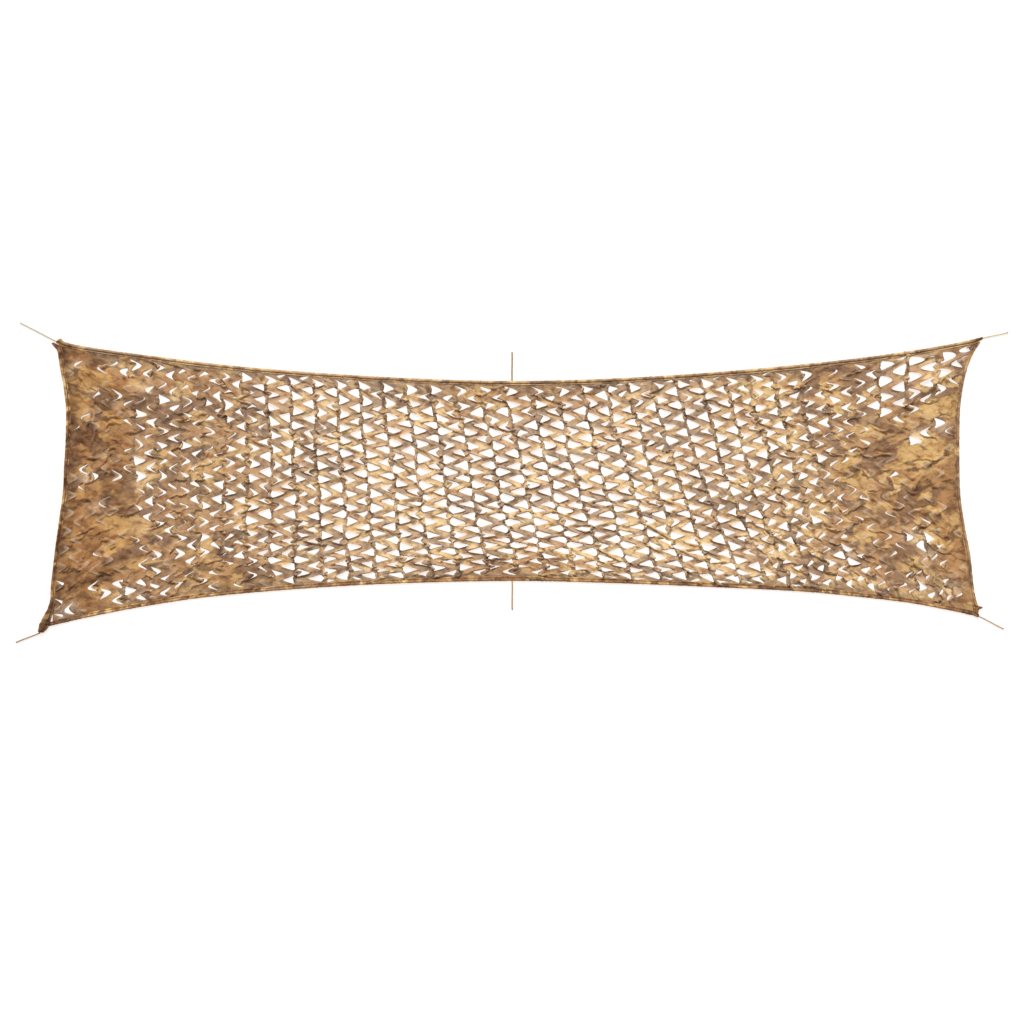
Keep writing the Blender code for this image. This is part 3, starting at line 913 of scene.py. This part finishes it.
def cloth_shades(cloth, turns, run):
    """Each layer's name and its strength at every point: painted light and shade, and the turned
    tongues' back.
    """
    flat, tongue, gape, free = cloth.flat, cloth.tongue, cloth.gape, cloth.free
    # The painted light and shade on the edges and columns comes and goes in patches.
    patchy = np.clip(PATCHY_MIDDLE + PATCHY_SPREAD * ripple(flat, PATCHY_LONG, PATCHY_SEED), 0, 1)
    fold_shade = painted_fold_shade(cloth, turns, patchy)
    over = ~tongue.under & (run > OVER_FROM * tongue.width)
    # Painted shade where the cloth is closed, less of it towards the right.
    less_shaded = RIGHT_LESS_SHADED * ease(*LESS_SHADED_ALONG, cloth.base[:, 0])
    # Painted shade and highlights on a slit's edges: the strand's is shaded along its upper half,
    # the tongue's along its lower, and each is lit along the other half.
    lower, upper = np.s_[:, :SLIT_STEPS], np.s_[:, SLIT_STEPS + 1:]
    strand_edge, tongue_edge = cloth.sides
    lit, shade = np.zeros((2, len(flat)))
    shade[strand_edge[upper]] = shade[tongue_edge[lower]] = 1.0
    lit[strand_edge[lower]] = lit[tongue_edge[upper]] = 1.0
    patchy = patchy * (PATCHY_LEAST + (1 - PATCHY_LEAST) * ease(0.0, PATCHY_GAPE, gape))
    near_tip = ease(TIP_FROM, 1.0, tongue.reach / (SLIT_FROM_COLUMN + tongue.outline + TINY))
    # At shut slits, painted highlight on the tips of tongues lying on top, painted shade on those
    # lying under.
    tip = TIP_LIGHT_AND_SHADE * cloth.laps * near_tip * (1 - gape)
    return {
        # painted shade in the folds
        "fold_shade": fold_shade,
        "back": over.astype(float),
        "lit": np.maximum(lit * patchy, tip * ~tongue.under) * free,
        "shade": np.maximum(shade * patchy, tip * tongue.under) * free,
        # painted shade where the cloth is closed
        "closed_shade": (1 - gape) * (1 - less_shaded),
        # painted light where the slits gape open
        "drawn": gape,
        # painted shade beside the bindings
        "edge": binding_shade(flat),
    }


def add_map(mesh, name, places):
    """A UV map from a place for each corner of each face."""
    layer = mesh.uv_layers.new(name=name)
    layer.uv.foreach_set("vector", places.astype(np.float32).ravel())


def link(mesh, name):
    """Puts a mesh in the scene as an object of that name."""
    piece = bpy.data.objects.new(name, mesh)
    bpy.context.scene.collection.objects.link(piece)
    return piece


def make_net(material):
    """The slit cloth."""
    slits = slit_table()
    mesh, lines = flat_cloth(slits)
    flat = settle_cloth(mesh, slits, lines)
    corners = read(mesh.loops, "vertex_index", np.int32)
    add_map(mesh, UV_CLOTH, flat[corners])
    add_map(mesh, UV_BAKE, ((flat - flat.min(0)) / (flat.max(0) - flat.min(0)))[corners])
    mesh.shade_smooth()
    mesh.materials.append(material)
    return link(mesh, "camouflage_net")


# --------------------
# Tubes: the bindings and the ties.

def resample(line, gap):
    """A smooth curve through the rows of a table, read about every gap metres."""
    keys = steps_along(line[:, :2])
    at = np.linspace(0, keys[-1], max(2, round(keys[-1] / gap)) + 1)
    return np.stack([smooth(np.stack([keys, column], 1), at) for column in line.T], 1)


def tube(name, rings, material):
    """A closed tube through rings of points, with the two UV maps along and round it."""
    count, size = rings.shape[:2]
    i, j = np.indices((count - 1, size))
    ring, turn = np.stack([i, i, i + 1, i + 1], -1), np.stack([j, j + 1, j + 1, j], -1)
    faces = (ring * size + turn % size).reshape(-1, 4).tolist()
    last = count * size
    faces += [list(range(size)), list(range(last - 1, last - size - 1, -1))]
    along = steps_along(rings.mean(1))
    middle = rings[count // 2]
    around = steps_along(np.concatenate([middle, middle[:1]]))
    ends = [(x, y) for x in (0.0, along[-1]) for y in around[:-1]]
    places = np.concatenate([np.stack([along[ring], around[turn]], -1).reshape(-1, 2), ends])
    mesh = bpy.data.meshes.new(name)
    mesh.from_pydata(rings.reshape(-1, 3).tolist(), [], faces)
    add_map(mesh, UV_CLOTH, places)
    add_map(mesh, UV_BAKE, places / (along[-1], around[-1]))
    shape = bmesh.new()
    shape.from_mesh(mesh)
    bmesh.ops.recalc_face_normals(shape, faces=shape.faces)
    shape.to_mesh(mesh)
    shape.free()
    mesh.shade_smooth()
    mesh.materials.append(material)
    return link(mesh, name)


# Each binding's name, first end, edge, last end, way inwards, whether upright, and seed.
BANDS = [
    ("top", TOP_LEFT_END, TOP_EDGE, TOP_RIGHT_END, -1, False, 3),
    ("bottom", BOTTOM_LEFT_END, BOTTOM_EDGE, BOTTOM_RIGHT_END, 1, False, 17),
    ("left", LEFT_BOTTOM_END, LEFT_EDGE, LEFT_TOP_END, 1, True, 29),
    ("right", RIGHT_BOTTOM_END, RIGHT_EDGE, RIGHT_TOP_END, -1, True, 41),
]
# A binding's section: shares of its width from the outer side, and of its height.
BAND_SHAPE = np.array([
    (0.02, 0.33), (0.0, 0.62), (0.05, 0.93), (0.2, 1.13), (0.38, 1.15), (0.54, 0.95),
    (0.63, 0.62), (0.68, 0.5), (0.75, 0.57), (0.88, 0.6), (1.0, 0.52), (1.0, 0.36),
    (0.85, 0.2), (0.58, 0.05), (0.3, 0.01), (0.12, 0.06),
])
BAND_GAP = 0.007  # from ring to ring
BAND_RIPPLES = [(0.055, 9), (0.021, 9), (0.3, 7)]  # slack, crease, wave: length, waves
TOP_FROM = 0.45  # the share of the height above which the cloth is the top
RIM_TO_SHARE, RIM_PUCKER, SEAM_PUCKER = 0.3, 0.022, 0.012
GROOVE_FROM, GROOVE_TO, GROOVE_DRIFT = 0.4, 0.9, 0.02
SLACK_HIGH, WAVE_HIGH, CREASE_HIGH = 0.05, 0.04, 0.05
PLEATS, PLEAT_DRIFT, PLEAT_HIGH = 3.2, 0.35, 0.16
GATHERED = (0.02, 0.16)  # from an end: full pleats, and where they begin
TIP_SHARE, TIP_OUT = 0.55, 0.0022  # a cut end's last ring: its size, and how far out
LOWEST, TIP_LOWEST = 0.0003, 0.0008
GROOVE = (0.66, 0.52)  # where the stitching runs, in shares of the section
UNSEWN_RINGS = 6  # at each end
MAIN_STEP = 0.03
END_CLEAR = 0.05
END_ROWS = (1, 15)  # of 16: where the runs of the upright bindings begin and end


def band_line(first_end, edge, last_end, inward, upright):
    """A binding's sections from end to end: outer x, y, inner x, y, height."""
    along, across = (1, 0) if upright else (0, 1)
    if upright:
        ends = cloth_place(np.zeros(2), ROWS / 16 * np.array(END_ROWS), 0.0)
    else:
        ends = cloth_place(np.array([1.0, COLUMNS - 1]), np.full(2, ROWS * (inward < 0)), 0.0)
    low, high = ends[:, along] - BOX_SHIFT[along]
    # The run keeps clear of the ends' own sections, so that it meets them smoothly.
    low = max(low, first_end[-1][along] + END_CLEAR)
    high = min(high, last_end[0][along] - END_CLEAR)
    at = np.linspace(low, high, round((high - low) / MAIN_STEP))
    off = smooth(edge, at)
    run = np.empty((len(at), 5))
    run[:, along] = run[:, along + 2] = at
    run[:, across] = off
    run[:, across + 2] = off + inward * BINDING_WIDTH
    run[:, 4] = BINDING_HIGH
    return np.concatenate([first_end, run, last_end])


def band_rings(line, seed):
    """The rings of a binding: rolled cloth, puckered along its seam, pleated at its ends."""
    line = resample(line, BAND_GAP)
    along = steps_along(line[:, :2])
    gathered = 1 - ease(*GATHERED, np.minimum(along, along[-1] - along))
    at = np.stack([along, 0 * along], 1)
    slack, crease, wave = (
        ripple(at, length, seed + i, waves)[:, None]
        for i, (length, waves) in enumerate(BAND_RIPPLES)
    )
    share, up = BAND_SHAPE.T
    top = up > TOP_FROM
    across = share + np.where(share < RIM_TO_SHARE, RIM_PUCKER, SEAM_PUCKER) * crease
    across = across + GROOVE_DRIFT * wave * (share > GROOVE_FROM) * (share < GROOVE_TO)
    rise = up * (1 + SLACK_HIGH * slack + WAVE_HIGH * wave) + top * CREASE_HIGH * crease
    # Pleats run lengthwise into the gathered ends.
    pleat = np.sin(2 * np.pi * (PLEATS * share + PLEAT_DRIFT * wave) + seed)
    rise = rise + top * gathered[:, None] * PLEAT_HIGH * pleat
    outer, inner = line[:, None, :2] + BOX_SHIFT, line[:, None, 2:4] + BOX_SHIFT
    place = outer + (inner - outer) * across[:, :, None]
    rings = np.dstack([place, rise * line[:, 4:5]])
    rings[:, :, 2] = np.maximum(rings[:, :, 2], LOWEST)
    # The cut ends are rounded off.
    tips = []
    for end, inside in ((0, 1), (-1, -2)):
        middle = rings[end].mean(0)
        way = middle - rings[inside].mean(0)
        tip = middle + (rings[end] - middle) * TIP_SHARE + TIP_OUT * way / np.linalg.norm(way)
        tip[:, 2] = np.maximum(tip[:, 2], TIP_LOWEST)
        tips.append([tip])
    return np.concatenate([tips[0], rings, tips[1]])


def make_bands():
    """The four bindings, and the line that the stitching follows on each."""
    bands = []
    seams = []
    groove = int(np.argmin(np.abs(BAND_SHAPE - GROOVE).sum(1)))
    for name, *line, seed in BANDS:
        rings = band_rings(band_line(*line), seed)
        length = float(steps_along(rings.mean(1))[-1])
        band = tube(f"binding_{name}_rolled", rings, band_material(name, seed, length))
        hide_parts(f"binding_{name}")
        bands.append(band)
        seams.append(rings[UNSEWN_RINGS:-UNSEWN_RINGS, groove])
    return bands, seams


STITCH_PITCH = 0.0052
STITCH_LONG = 0.0036
STITCH_RADIUS = 0.0006
STITCH_SIDES = 5
AHEAD = 0.002


def stitch():
    """One stitch along x: its points and its triangles."""
    turn = 2 * np.pi * np.arange(STITCH_SIDES) / STITCH_SIDES
    circle = np.stack([0 * turn, np.cos(turn), np.sin(turn)], 1) * STITCH_RADIUS
    half = STITCH_LONG / 2
    points = np.concatenate([
        [(-half, 0, -STITCH_RADIUS)], circle - (half / 2, 0, 0), circle + (half / 2, 0, 0),
        [(half, 0, -STITCH_RADIUS)],
    ])
    faces = []
    for i in range(STITCH_SIDES):
        a, b = 1 + i, 1 + (i + 1) % STITCH_SIDES
        faces += [(0, b, a), (a, b, b + STITCH_SIDES), (a, b + STITCH_SIDES, a + STITCH_SIDES)]
        faces.append((a + STITCH_SIDES, b + STITCH_SIDES, len(points) - 1))
    return points, np.array(faces)


def line_places(line, at):
    """The points at given distances along a line."""
    far = steps_along(line)
    return np.stack([np.interp(at, far, column) for column in line.T], 1)


def level_aside(way):
    """Level directions to the left of directions."""
    return np.stack([-way[:, 1], way[:, 0], 0 * way[:, 0]], 1)


def make_stitches(seams, material):
    """The machine stitching along all four bindings, as one mesh."""
    body, faces = stitch()
    points = []
    for seam in seams:
        at = np.arange(STITCH_PITCH, steps_along(seam)[-1] - STITCH_PITCH, STITCH_PITCH)
        place = line_places(seam, at)
        way = unit(line_places(seam, at + AHEAD) - place)
        aside = unit(level_aside(way))
        frames = np.stack([way, aside, np.cross(way, aside)], 1)
        points.append(place[:, None] + np.einsum("kc,ncd->nkd", body, frames))
    points = np.concatenate(points)
    first = np.arange(len(points))[:, None, None] * len(body)
    mesh = bpy.data.meshes.new("binding_stitches")
    mesh.from_pydata(points.reshape(-1, 3).tolist(), [], (faces + first).reshape(-1, 3).tolist())
    mesh.shade_smooth()
    mesh.materials.append(material)
    stitches = link(mesh, "binding_stitches")
    return stitches


TIE_BOW = 0.0005
ROPE_STEP = 0.0018
ROPE_TWIST = 0.03  # one turn of a strand
ROPE_SIDES = 24
ROPE_STRANDS = 3
VALLEY = 0.2  # the deepest groove, as a share of a strand's radius squared
TIP_LONG, TIP_THIN = 0.006, 0.55


def rope_outline():
    """How far out the surface of a three-strand rope is, round its section."""
    strand = TIE_DIAMETER / 2 / (1 + 1 / math.sin(math.pi / ROPE_STRANDS))
    centre = TIE_DIAMETER / 2 - strand
    turn = 2 * np.pi * np.arange(ROPE_SIDES) / ROPE_SIDES
    part = 2 * np.pi / ROPE_STRANDS
    aside = (turn + part / 2) % part - part / 2
    inside = np.maximum(strand ** 2 - (centre * np.sin(aside)) ** 2, VALLEY * strand ** 2)
    return turn, centre * np.cos(aside) + np.sqrt(inside)


def make_tie(name, start, end, material):
    """A short twisted rope."""
    run = end - start
    length = float(np.linalg.norm(run))
    aside = np.array([-run[1], run[0]]) / length
    t = np.linspace(0, 1, round(length / ROPE_STEP) + 1)[:, None]
    path = start + run * t + aside * TIE_BOW * np.sin(2 * np.pi * t)
    path = np.column_stack([path, np.full(len(t), TIE_DIAMETER / 2)])
    way = unit(np.gradient(path, axis=0))
    side = level_aside(way)
    up = np.cross(way, side)
    turn, out = rope_outline()
    along = steps_along(path)
    angle = turn + 2 * np.pi * along[:, None] / ROPE_TWIST
    tip = TIP_THIN + (1 - TIP_THIN) * ease(0.0, TIP_LONG, along[-1] - along)
    radius = out * tip[:, None]
    rings = path[:, None] + radius[:, :, None] * (
        np.cos(angle)[:, :, None] * side[:, None] + np.sin(angle)[:, :, None] * up[:, None]
    )
    rope = tube(f"{name}_rope", rings, material)
    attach(rope, BODY)
    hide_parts(name)
    return rope


# --------------------
# Materials.

class Shading:
    """Builds one material's nodes."""

    def __init__(self, name):
        self.material = bpy.data.materials.new(name)
        self.material.use_nodes = True
        self.tree = self.material.node_tree

    def put(self, socket, value):
        """Links a socket, or gives it a value."""
        if isinstance(value, bpy.types.NodeSocket):
            self.tree.links.new(value, socket)
        else:
            socket.default_value = value

    def add(self, kind, inputs, **settings):
        """The first output of a node, with its settings and its inputs' values or links."""
        node = self.tree.nodes.new("ShaderNode" + kind)
        for key, value in settings.items():
            setattr(node, key, value)
        for key, value in inputs.items():
            self.put(node.inputs[key], value)
        return node.outputs[0]

    def surface(self, inputs):
        """The finished material, with the shader's inputs set."""
        for key, value in inputs.items():
            self.put(self.tree.nodes["Principled BSDF"].inputs[key], value)
        return self.material

    def cloth(self):
        """The place on the flat cloth, in metres."""
        return self.add("UVMap", {}, uv_map=UV_CLOTH)

    def times(self, a, b):
        """Two values multiplied."""
        return self.add("Math", {0: a, 1: b}, operation="MULTIPLY")

    def less(self, a, b):
        """The second value taken from the first."""
        return self.add("Math", {0: a, 1: b}, operation="SUBTRACT")

    def noise(self, vector, scale, detail=2.0, rough=0.5, warp=0.0):
        """Noise of about unit contrast round 0.5."""
        return self.add("TexNoise", {
            "Vector": vector, "Scale": scale, "Detail": detail, "Roughness": rough,
            "Distortion": warp,
        })

    def stretched(self, vector, scale, move=(0.0, 0.0, 0.0)):
        """A vector scaled along its axes, then moved."""
        return self.add("Mapping", {"Vector": vector, "Scale": scale, "Location": move})

    def band(self, value, low, high):
        """A smooth step from 0 to 1."""
        inputs = {"Value": value, "From Min": low, "From Max": high}
        return self.add("MapRange", inputs, interpolation_type="SMOOTHSTEP")

    def mix(self, share, a, b, blend="MIX"):
        """Two colours mixed."""
        inputs = {0: share, 6: a, 7: b}
        return self.add("Mix", inputs, data_type="RGBA", blend_type=blend).node.outputs[2]

    def tint(self, color, share, most, tone, blend="MULTIPLY"):
        """A colour with a tone laid on it, where share is 1 at the given strength."""
        return self.mix(self.times(share, most), color, tone, blend)

    def bump(self, height, strength, distance, normal=None):
        """A bump, on top of another if given."""
        inputs = {"Height": height, "Strength": strength, "Distance": distance}
        if normal is not None:
            inputs["Normal"] = normal
        return self.add("Bump", inputs)


def srgb(red, green, blue):
    """A colour from 0 to 255 as the shader takes it."""
    values = []
    for part in (red, green, blue):
        c = part / 255
        values.append(c / 12.92 if c <= 0.04045 else ((c + 0.055) / 1.055) ** 2.4)
    return (*values, 1.0)


CLOTH_TAN = srgb(206, 160, 108)
CLOTH_GOLD = srgb(247, 210, 143)
CLOTH_MAUVE = srgb(152, 113, 82)
CLOTH_BROWN = srgb(104, 68, 34)
# Pale cloth; on the net also the tone of its painted light.
CLOTH_PALE = srgb(252, 236, 214)
# The tone of the painted shade on the net and in the bindings' seams.
PAINTED_SHADE_TONE = srgb(96, 58, 26)
CLOTH_BACK = srgb(226, 190, 142)
CLOTH_FADED = srgb(226, 188, 136)
CLOTH_STAIN = srgb(164, 122, 80)
CLOTH_SLUB = srgb(130, 96, 64)
BAND_BROWN = srgb(150, 108, 68)
# The painted shade at a binding's gathered ends.
BAND_END_SHADE = srgb(150, 106, 70)
ROPE_TIP = srgb(104, 92, 80)
THREAD_DARK, THREAD_PALE = srgb(112, 82, 52), srgb(176, 138, 88)

THREAD_SCALE = 262.0  # threads over and under, every 1.2 mm
# Layers on the net's cloth: name, strength, tone, blend. All but the back are painted light and
# shade.
NET_LAYERS = [
    ("closed_shade", 0.76, srgb(191, 159, 124), "MULTIPLY"), ("drawn", 0.3, CLOTH_PALE, "MIX"),
    ("edge", 0.75, srgb(166, 159, 169), "MULTIPLY"), ("back", 0.5, CLOTH_BACK, "MIX"),
    ("lit", 0.78, CLOTH_PALE, "MIX"), ("shade", 0.76, PAINTED_SHADE_TONE, "MULTIPLY"),
    ("fold_shade", 0.95, PAINTED_SHADE_TONE, "MULTIPLY"),
]
# How brown a binding is, how pale all over, the tone and strength of the painted light along its
# rim, and how strong the painted shade in its seam is.
BAND_TONES = {
    "top": (0.2, 0.18, (150, 114, 78), 0.7, 0.7),
    "bottom": (0.7, 0.0, (232, 194, 132), 0.14, 0.8),
    "left": (1.0, 0.0, (170, 132, 92), 0.45, 1.0),
    "right": (0.44, 0.1, (170, 132, 92), 0.3, 0.6),
}
# Across a binding, metres from its outer side over its top: the rim with its painted light, the
# seam's groove with its painted shade.
RIM_FROM, RIM_TO = 0.004, 0.0085
SEAM_FROM, SEAM_MIDDLE, SEAM_TO = 0.0175, 0.0225, 0.0275
# Painted shade at a binding's gathered ends:
END_FROM, END_TO = 0.03, 0.14  # from a binding's ends: all dark, and no longer dark
# The six ties' own tones, and the dark between their fibres.
ROPE_TONES = {
    "tie_top_left": ((234, 226, 214), (184, 172, 158)),
    "tie_top_right": ((250, 238, 218), (214, 196, 172)),
    "tie_bottom_left": ((204, 186, 160), (150, 130, 108)),
    "tie_bottom_right": ((226, 208, 184), (176, 154, 132)),
    "tie_top": ((208, 176, 126), (150, 118, 78)),
    "tie_bottom": ((226, 186, 130), (166, 128, 84)),
}
SEALED_FROM, SEALED_TO = 0.009, 0.004  # from a rope's far end


def blotches(s, cloth, place, shrink):
    """Generic earth-coloured blotches, long, swirled and soft at their edges."""
    wide = s.stretched(cloth, (1.15 * shrink, 1.4 * shrink, 1.0), place)
    feather = s.noise(wide, 13.0, 3.0, 0.6).node.outputs["Color"]
    offset = s.add("VectorMath", {0: feather, 1: (0.5, 0.5, 0.5)}, operation="SUBTRACT")
    push = s.add("VectorMath", {0: offset, "Scale": 0.08}, operation="SCALE")
    drawn = s.add("VectorMath", {0: wide, 1: push}, operation="ADD")
    gold = s.noise(drawn, 4.6, warp=0.9)
    mauve = s.noise(s.stretched(drawn, (1.0, 1.0, 1.0), (7.3, 2.1, 0.0)), 5.2, warp=0.9)
    brown = s.noise(s.stretched(drawn, (1.0, 1.2, 1.0), (1.7, 9.4, 0.0)), 8.5, warp=1.0)
    color = s.mix(s.band(gold, 0.46, 0.58), CLOTH_TAN, CLOTH_GOLD)
    color = s.mix(s.band(mauve, 0.5, 0.6), color, CLOTH_MAUVE)
    return s.tint(color, s.band(brown, 0.54, 0.66), 0.85, CLOTH_BROWN, "MIX")


def worn_cloth(s, cloth, color):
    """The material of cloth of that colour, with fading, stains and the weave."""
    fade = s.noise(cloth, 26.0, 3.0, 0.55)
    color = s.tint(color, s.band(fade, 0.3, 0.8), 0.3, CLOTH_FADED, "MIX")
    stain = s.noise(s.stretched(cloth, (1.0, 1.4, 1.0), (4.0, 3.0, 0.0)), 19.0, 3.0, 0.55)
    color = s.tint(color, s.band(stain, 0.45, 0.7), 0.62, CLOTH_STAIN)
    weave = s.times(*(
        s.add("TexWave", {
            "Vector": cloth, "Scale": THREAD_SCALE, "Distortion": 0.6, "Detail": 1.0,
        }, bands_direction=way).node.outputs["Fac"] for way in "XY"
    ))
    slub = s.noise(s.stretched(cloth, (1.0, 9.0, 1.0)), 140.0, 2.0, 0.6)
    crease = s.bump(s.noise(cloth, 40.0, 2.5, 0.5, 0.6), 0.45, 0.0036)
    return s.surface({
        "Base Color": s.tint(color, slub, 0.3, CLOTH_SLUB),
        "Roughness": s.add("Math", {0: slub, 1: 0.2, 2: 0.72}, operation="MULTIPLY_ADD"),
        "Normal": s.bump(weave, 0.35, 0.0003, crease),
        "Sheen Weight": 0.12, "Sheen Roughness": 0.5, "Specular IOR Level": 0.25,
    })


def net_material():
    """The net's printed cotton, with painted light where stretched and painted shade in its folds.
    """
    s = Shading("camouflage_cotton")
    cloth = s.cloth()
    color = blotches(s, cloth, (0.0, 0.0, 0.0), 1.0)
    # Painted light and shade laid over the print, with the paler back of turned tongues.
    for name, most, tone, blend in NET_LAYERS:
        share = s.add("Attribute", {}, attribute_name=name).node.outputs["Fac"]
        color = s.tint(color, share, most, tone, blend)
    return worn_cloth(s, cloth, color)


def band_material(name, seed, length):
    """A binding's cotton, with painted light along its outer rim and painted shade in its seam and
    at its ends.
    """
    s = Shading(f"binding_{name}_cotton")
    cloth = s.cloth()
    place = (3.1 + seed, 5.7, 0.0)
    browner, paler, rim_light_tone, rim_light_share, seam_shade = BAND_TONES[name]
    color = s.mix(paler, blotches(s, cloth, place, 1.5), CLOTH_PALE)
    along, across, _ = s.add("SeparateXYZ", {0: cloth}).node.outputs
    inside = s.band(across, RIM_FROM, RIM_TO)
    patch = s.noise(s.stretched(cloth, (1.0, 0.4, 1.0), place), 26.0)
    color = s.tint(color, s.times(s.band(patch, 0.36, 0.56), inside), browner, BAND_BROWN)
    # Painted light along the outer rim, in each binding's own rim tone.
    color = s.tint(color, s.less(1.0, inside), rim_light_share, srgb(*rim_light_tone), "MIX")
    # Painted shade in the seam's groove.
    seam = s.times(s.band(across, SEAM_FROM, SEAM_MIDDLE), s.band(across, SEAM_TO, SEAM_MIDDLE))
    color = s.tint(color, seam, seam_shade, PAINTED_SHADE_TONE)
    # Painted shade towards the gathered ends.
    near = s.add("Math", {0: along, 1: s.less(length, along)}, operation="MINIMUM")
    color = s.tint(color, s.less(1.0, s.band(near, END_FROM, END_TO)), 0.75, BAND_END_SHADE)
    return worn_cloth(s, cloth, color)


def rope_material(name, length):
    """Twisted plant fibre, with fine hairs of lighter and darker fibre and a sealed tip."""
    s = Shading(f"{name}_fibre")
    pale, dark = (srgb(*tone) for tone in ROPE_TONES[name])
    along = s.cloth()
    fibre = s.noise(s.stretched(along, (0.25, 1.0, 1.0)), 900.0, 3.0, 0.6)
    color = s.mix(s.band(fibre, 0.3, 0.75), dark, pale)
    color = s.tint(color, s.band(s.noise(along, 45.0), 0.5, 0.7), 0.45, dark, "MIX")
    sealed = s.band(s.add("SeparateXYZ", {0: along}), length - SEALED_FROM, length - SEALED_TO)
    return s.surface({
        "Base Color": s.tint(color, sealed, 0.75, ROPE_TIP, "MIX"),
        "Roughness": 0.85, "Specular IOR Level": 0.2, "Normal": s.bump(fibre, 0.5, 0.0004),
    })


def thread_material():
    """Sewing thread."""
    s = Shading("sewing_thread")
    place = s.add("TexCoord", {}).node.outputs["Object"]
    return s.surface({
        "Base Color": s.mix(s.band(s.noise(place, 60.0), 0.3, 0.7), THREAD_DARK, THREAD_PALE),
        "Roughness": 0.6, "Normal": s.bump(s.noise(place, 1800.0), 0.3, 0.0002),
    })


def floor_material():
    """A plain pale floor, lit a little from within so that shadows on it stay soft."""
    return Shading("pale_floor").surface({
        "Base Color": (0.28, 0.28, 0.28, 1.0), "Roughness": 0.95, "Specular IOR Level": 0.0,
        "Emission Color": (1.0, 0.93, 0.89, 1.0), "Emission Strength": 0.82,
    })


# --------------------
# The studio.

VIEW_WIDE = 5.478  # how much of the ground the picture shows, side to side
VIEW_MIDDLE = (0.0094, -0.1454)
VIEW_FROM = 12.0
SENSOR = 36.0
CLIP_END = 200
SUN_ENERGY = 3.38
SUN_SPREAD = math.radians(14)
SUN_TILT = (math.radians(-51), math.radians(-10), 0)
SKY_COLOR, SKY_STRENGTH = (1.0, 0.95, 0.87, 1.0), 0.42
FLOOR_HALF = 40.0


def make_camera():
    """A camera straight above."""
    camera = bpy.data.cameras.new("camera")
    camera.sensor_width = SENSOR
    camera.lens = SENSOR * VIEW_FROM / VIEW_WIDE
    camera.clip_end = CLIP_END
    holder = link(camera, "camera")
    holder.location = (*VIEW_MIDDLE, VIEW_FROM)
    bpy.context.scene.camera = holder


def make_studio():
    """A plain pale floor under plain soft light."""
    world = bpy.data.worlds.new("studio")
    world.use_nodes = True
    sky = world.node_tree.nodes["Background"]
    sky.inputs["Color"].default_value = SKY_COLOR
    sky.inputs["Strength"].default_value = SKY_STRENGTH
    bpy.context.scene.world = world
    sun = bpy.data.lights.new("key", "SUN")
    sun.energy = SUN_ENERGY
    sun.angle = SUN_SPREAD
    link(sun, "key").rotation_euler = SUN_TILT
    mesh = bpy.data.meshes.new("floor")
    corners = [(-1, -1), (1, -1), (1, 1), (-1, 1)]
    mesh.from_pydata([(x * FLOOR_HALF, y * FLOOR_HALF, 0) for x, y in corners], [], [(0, 1, 2, 3)])
    mesh.materials.append(floor_material())
    link(mesh, "floor")
    bpy.context.scene.view_settings.view_transform = "Standard"


def main():
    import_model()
    make_camera()
    for name, *ends in TIES:
        start, end = np.array(ends).reshape(2, 2) + BOX_SHIFT
        length = float(np.linalg.norm(end - start))
        make_tie(name, start, end, rope_material(name, length))
    net = make_net(net_material())
    bands, seams = make_bands()
    stitches = make_stitches(seams, thread_material())
    for piece in (net, *bands, stitches):
        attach(piece, BODY)
    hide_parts("net_cloth")
    make_studio()


main()
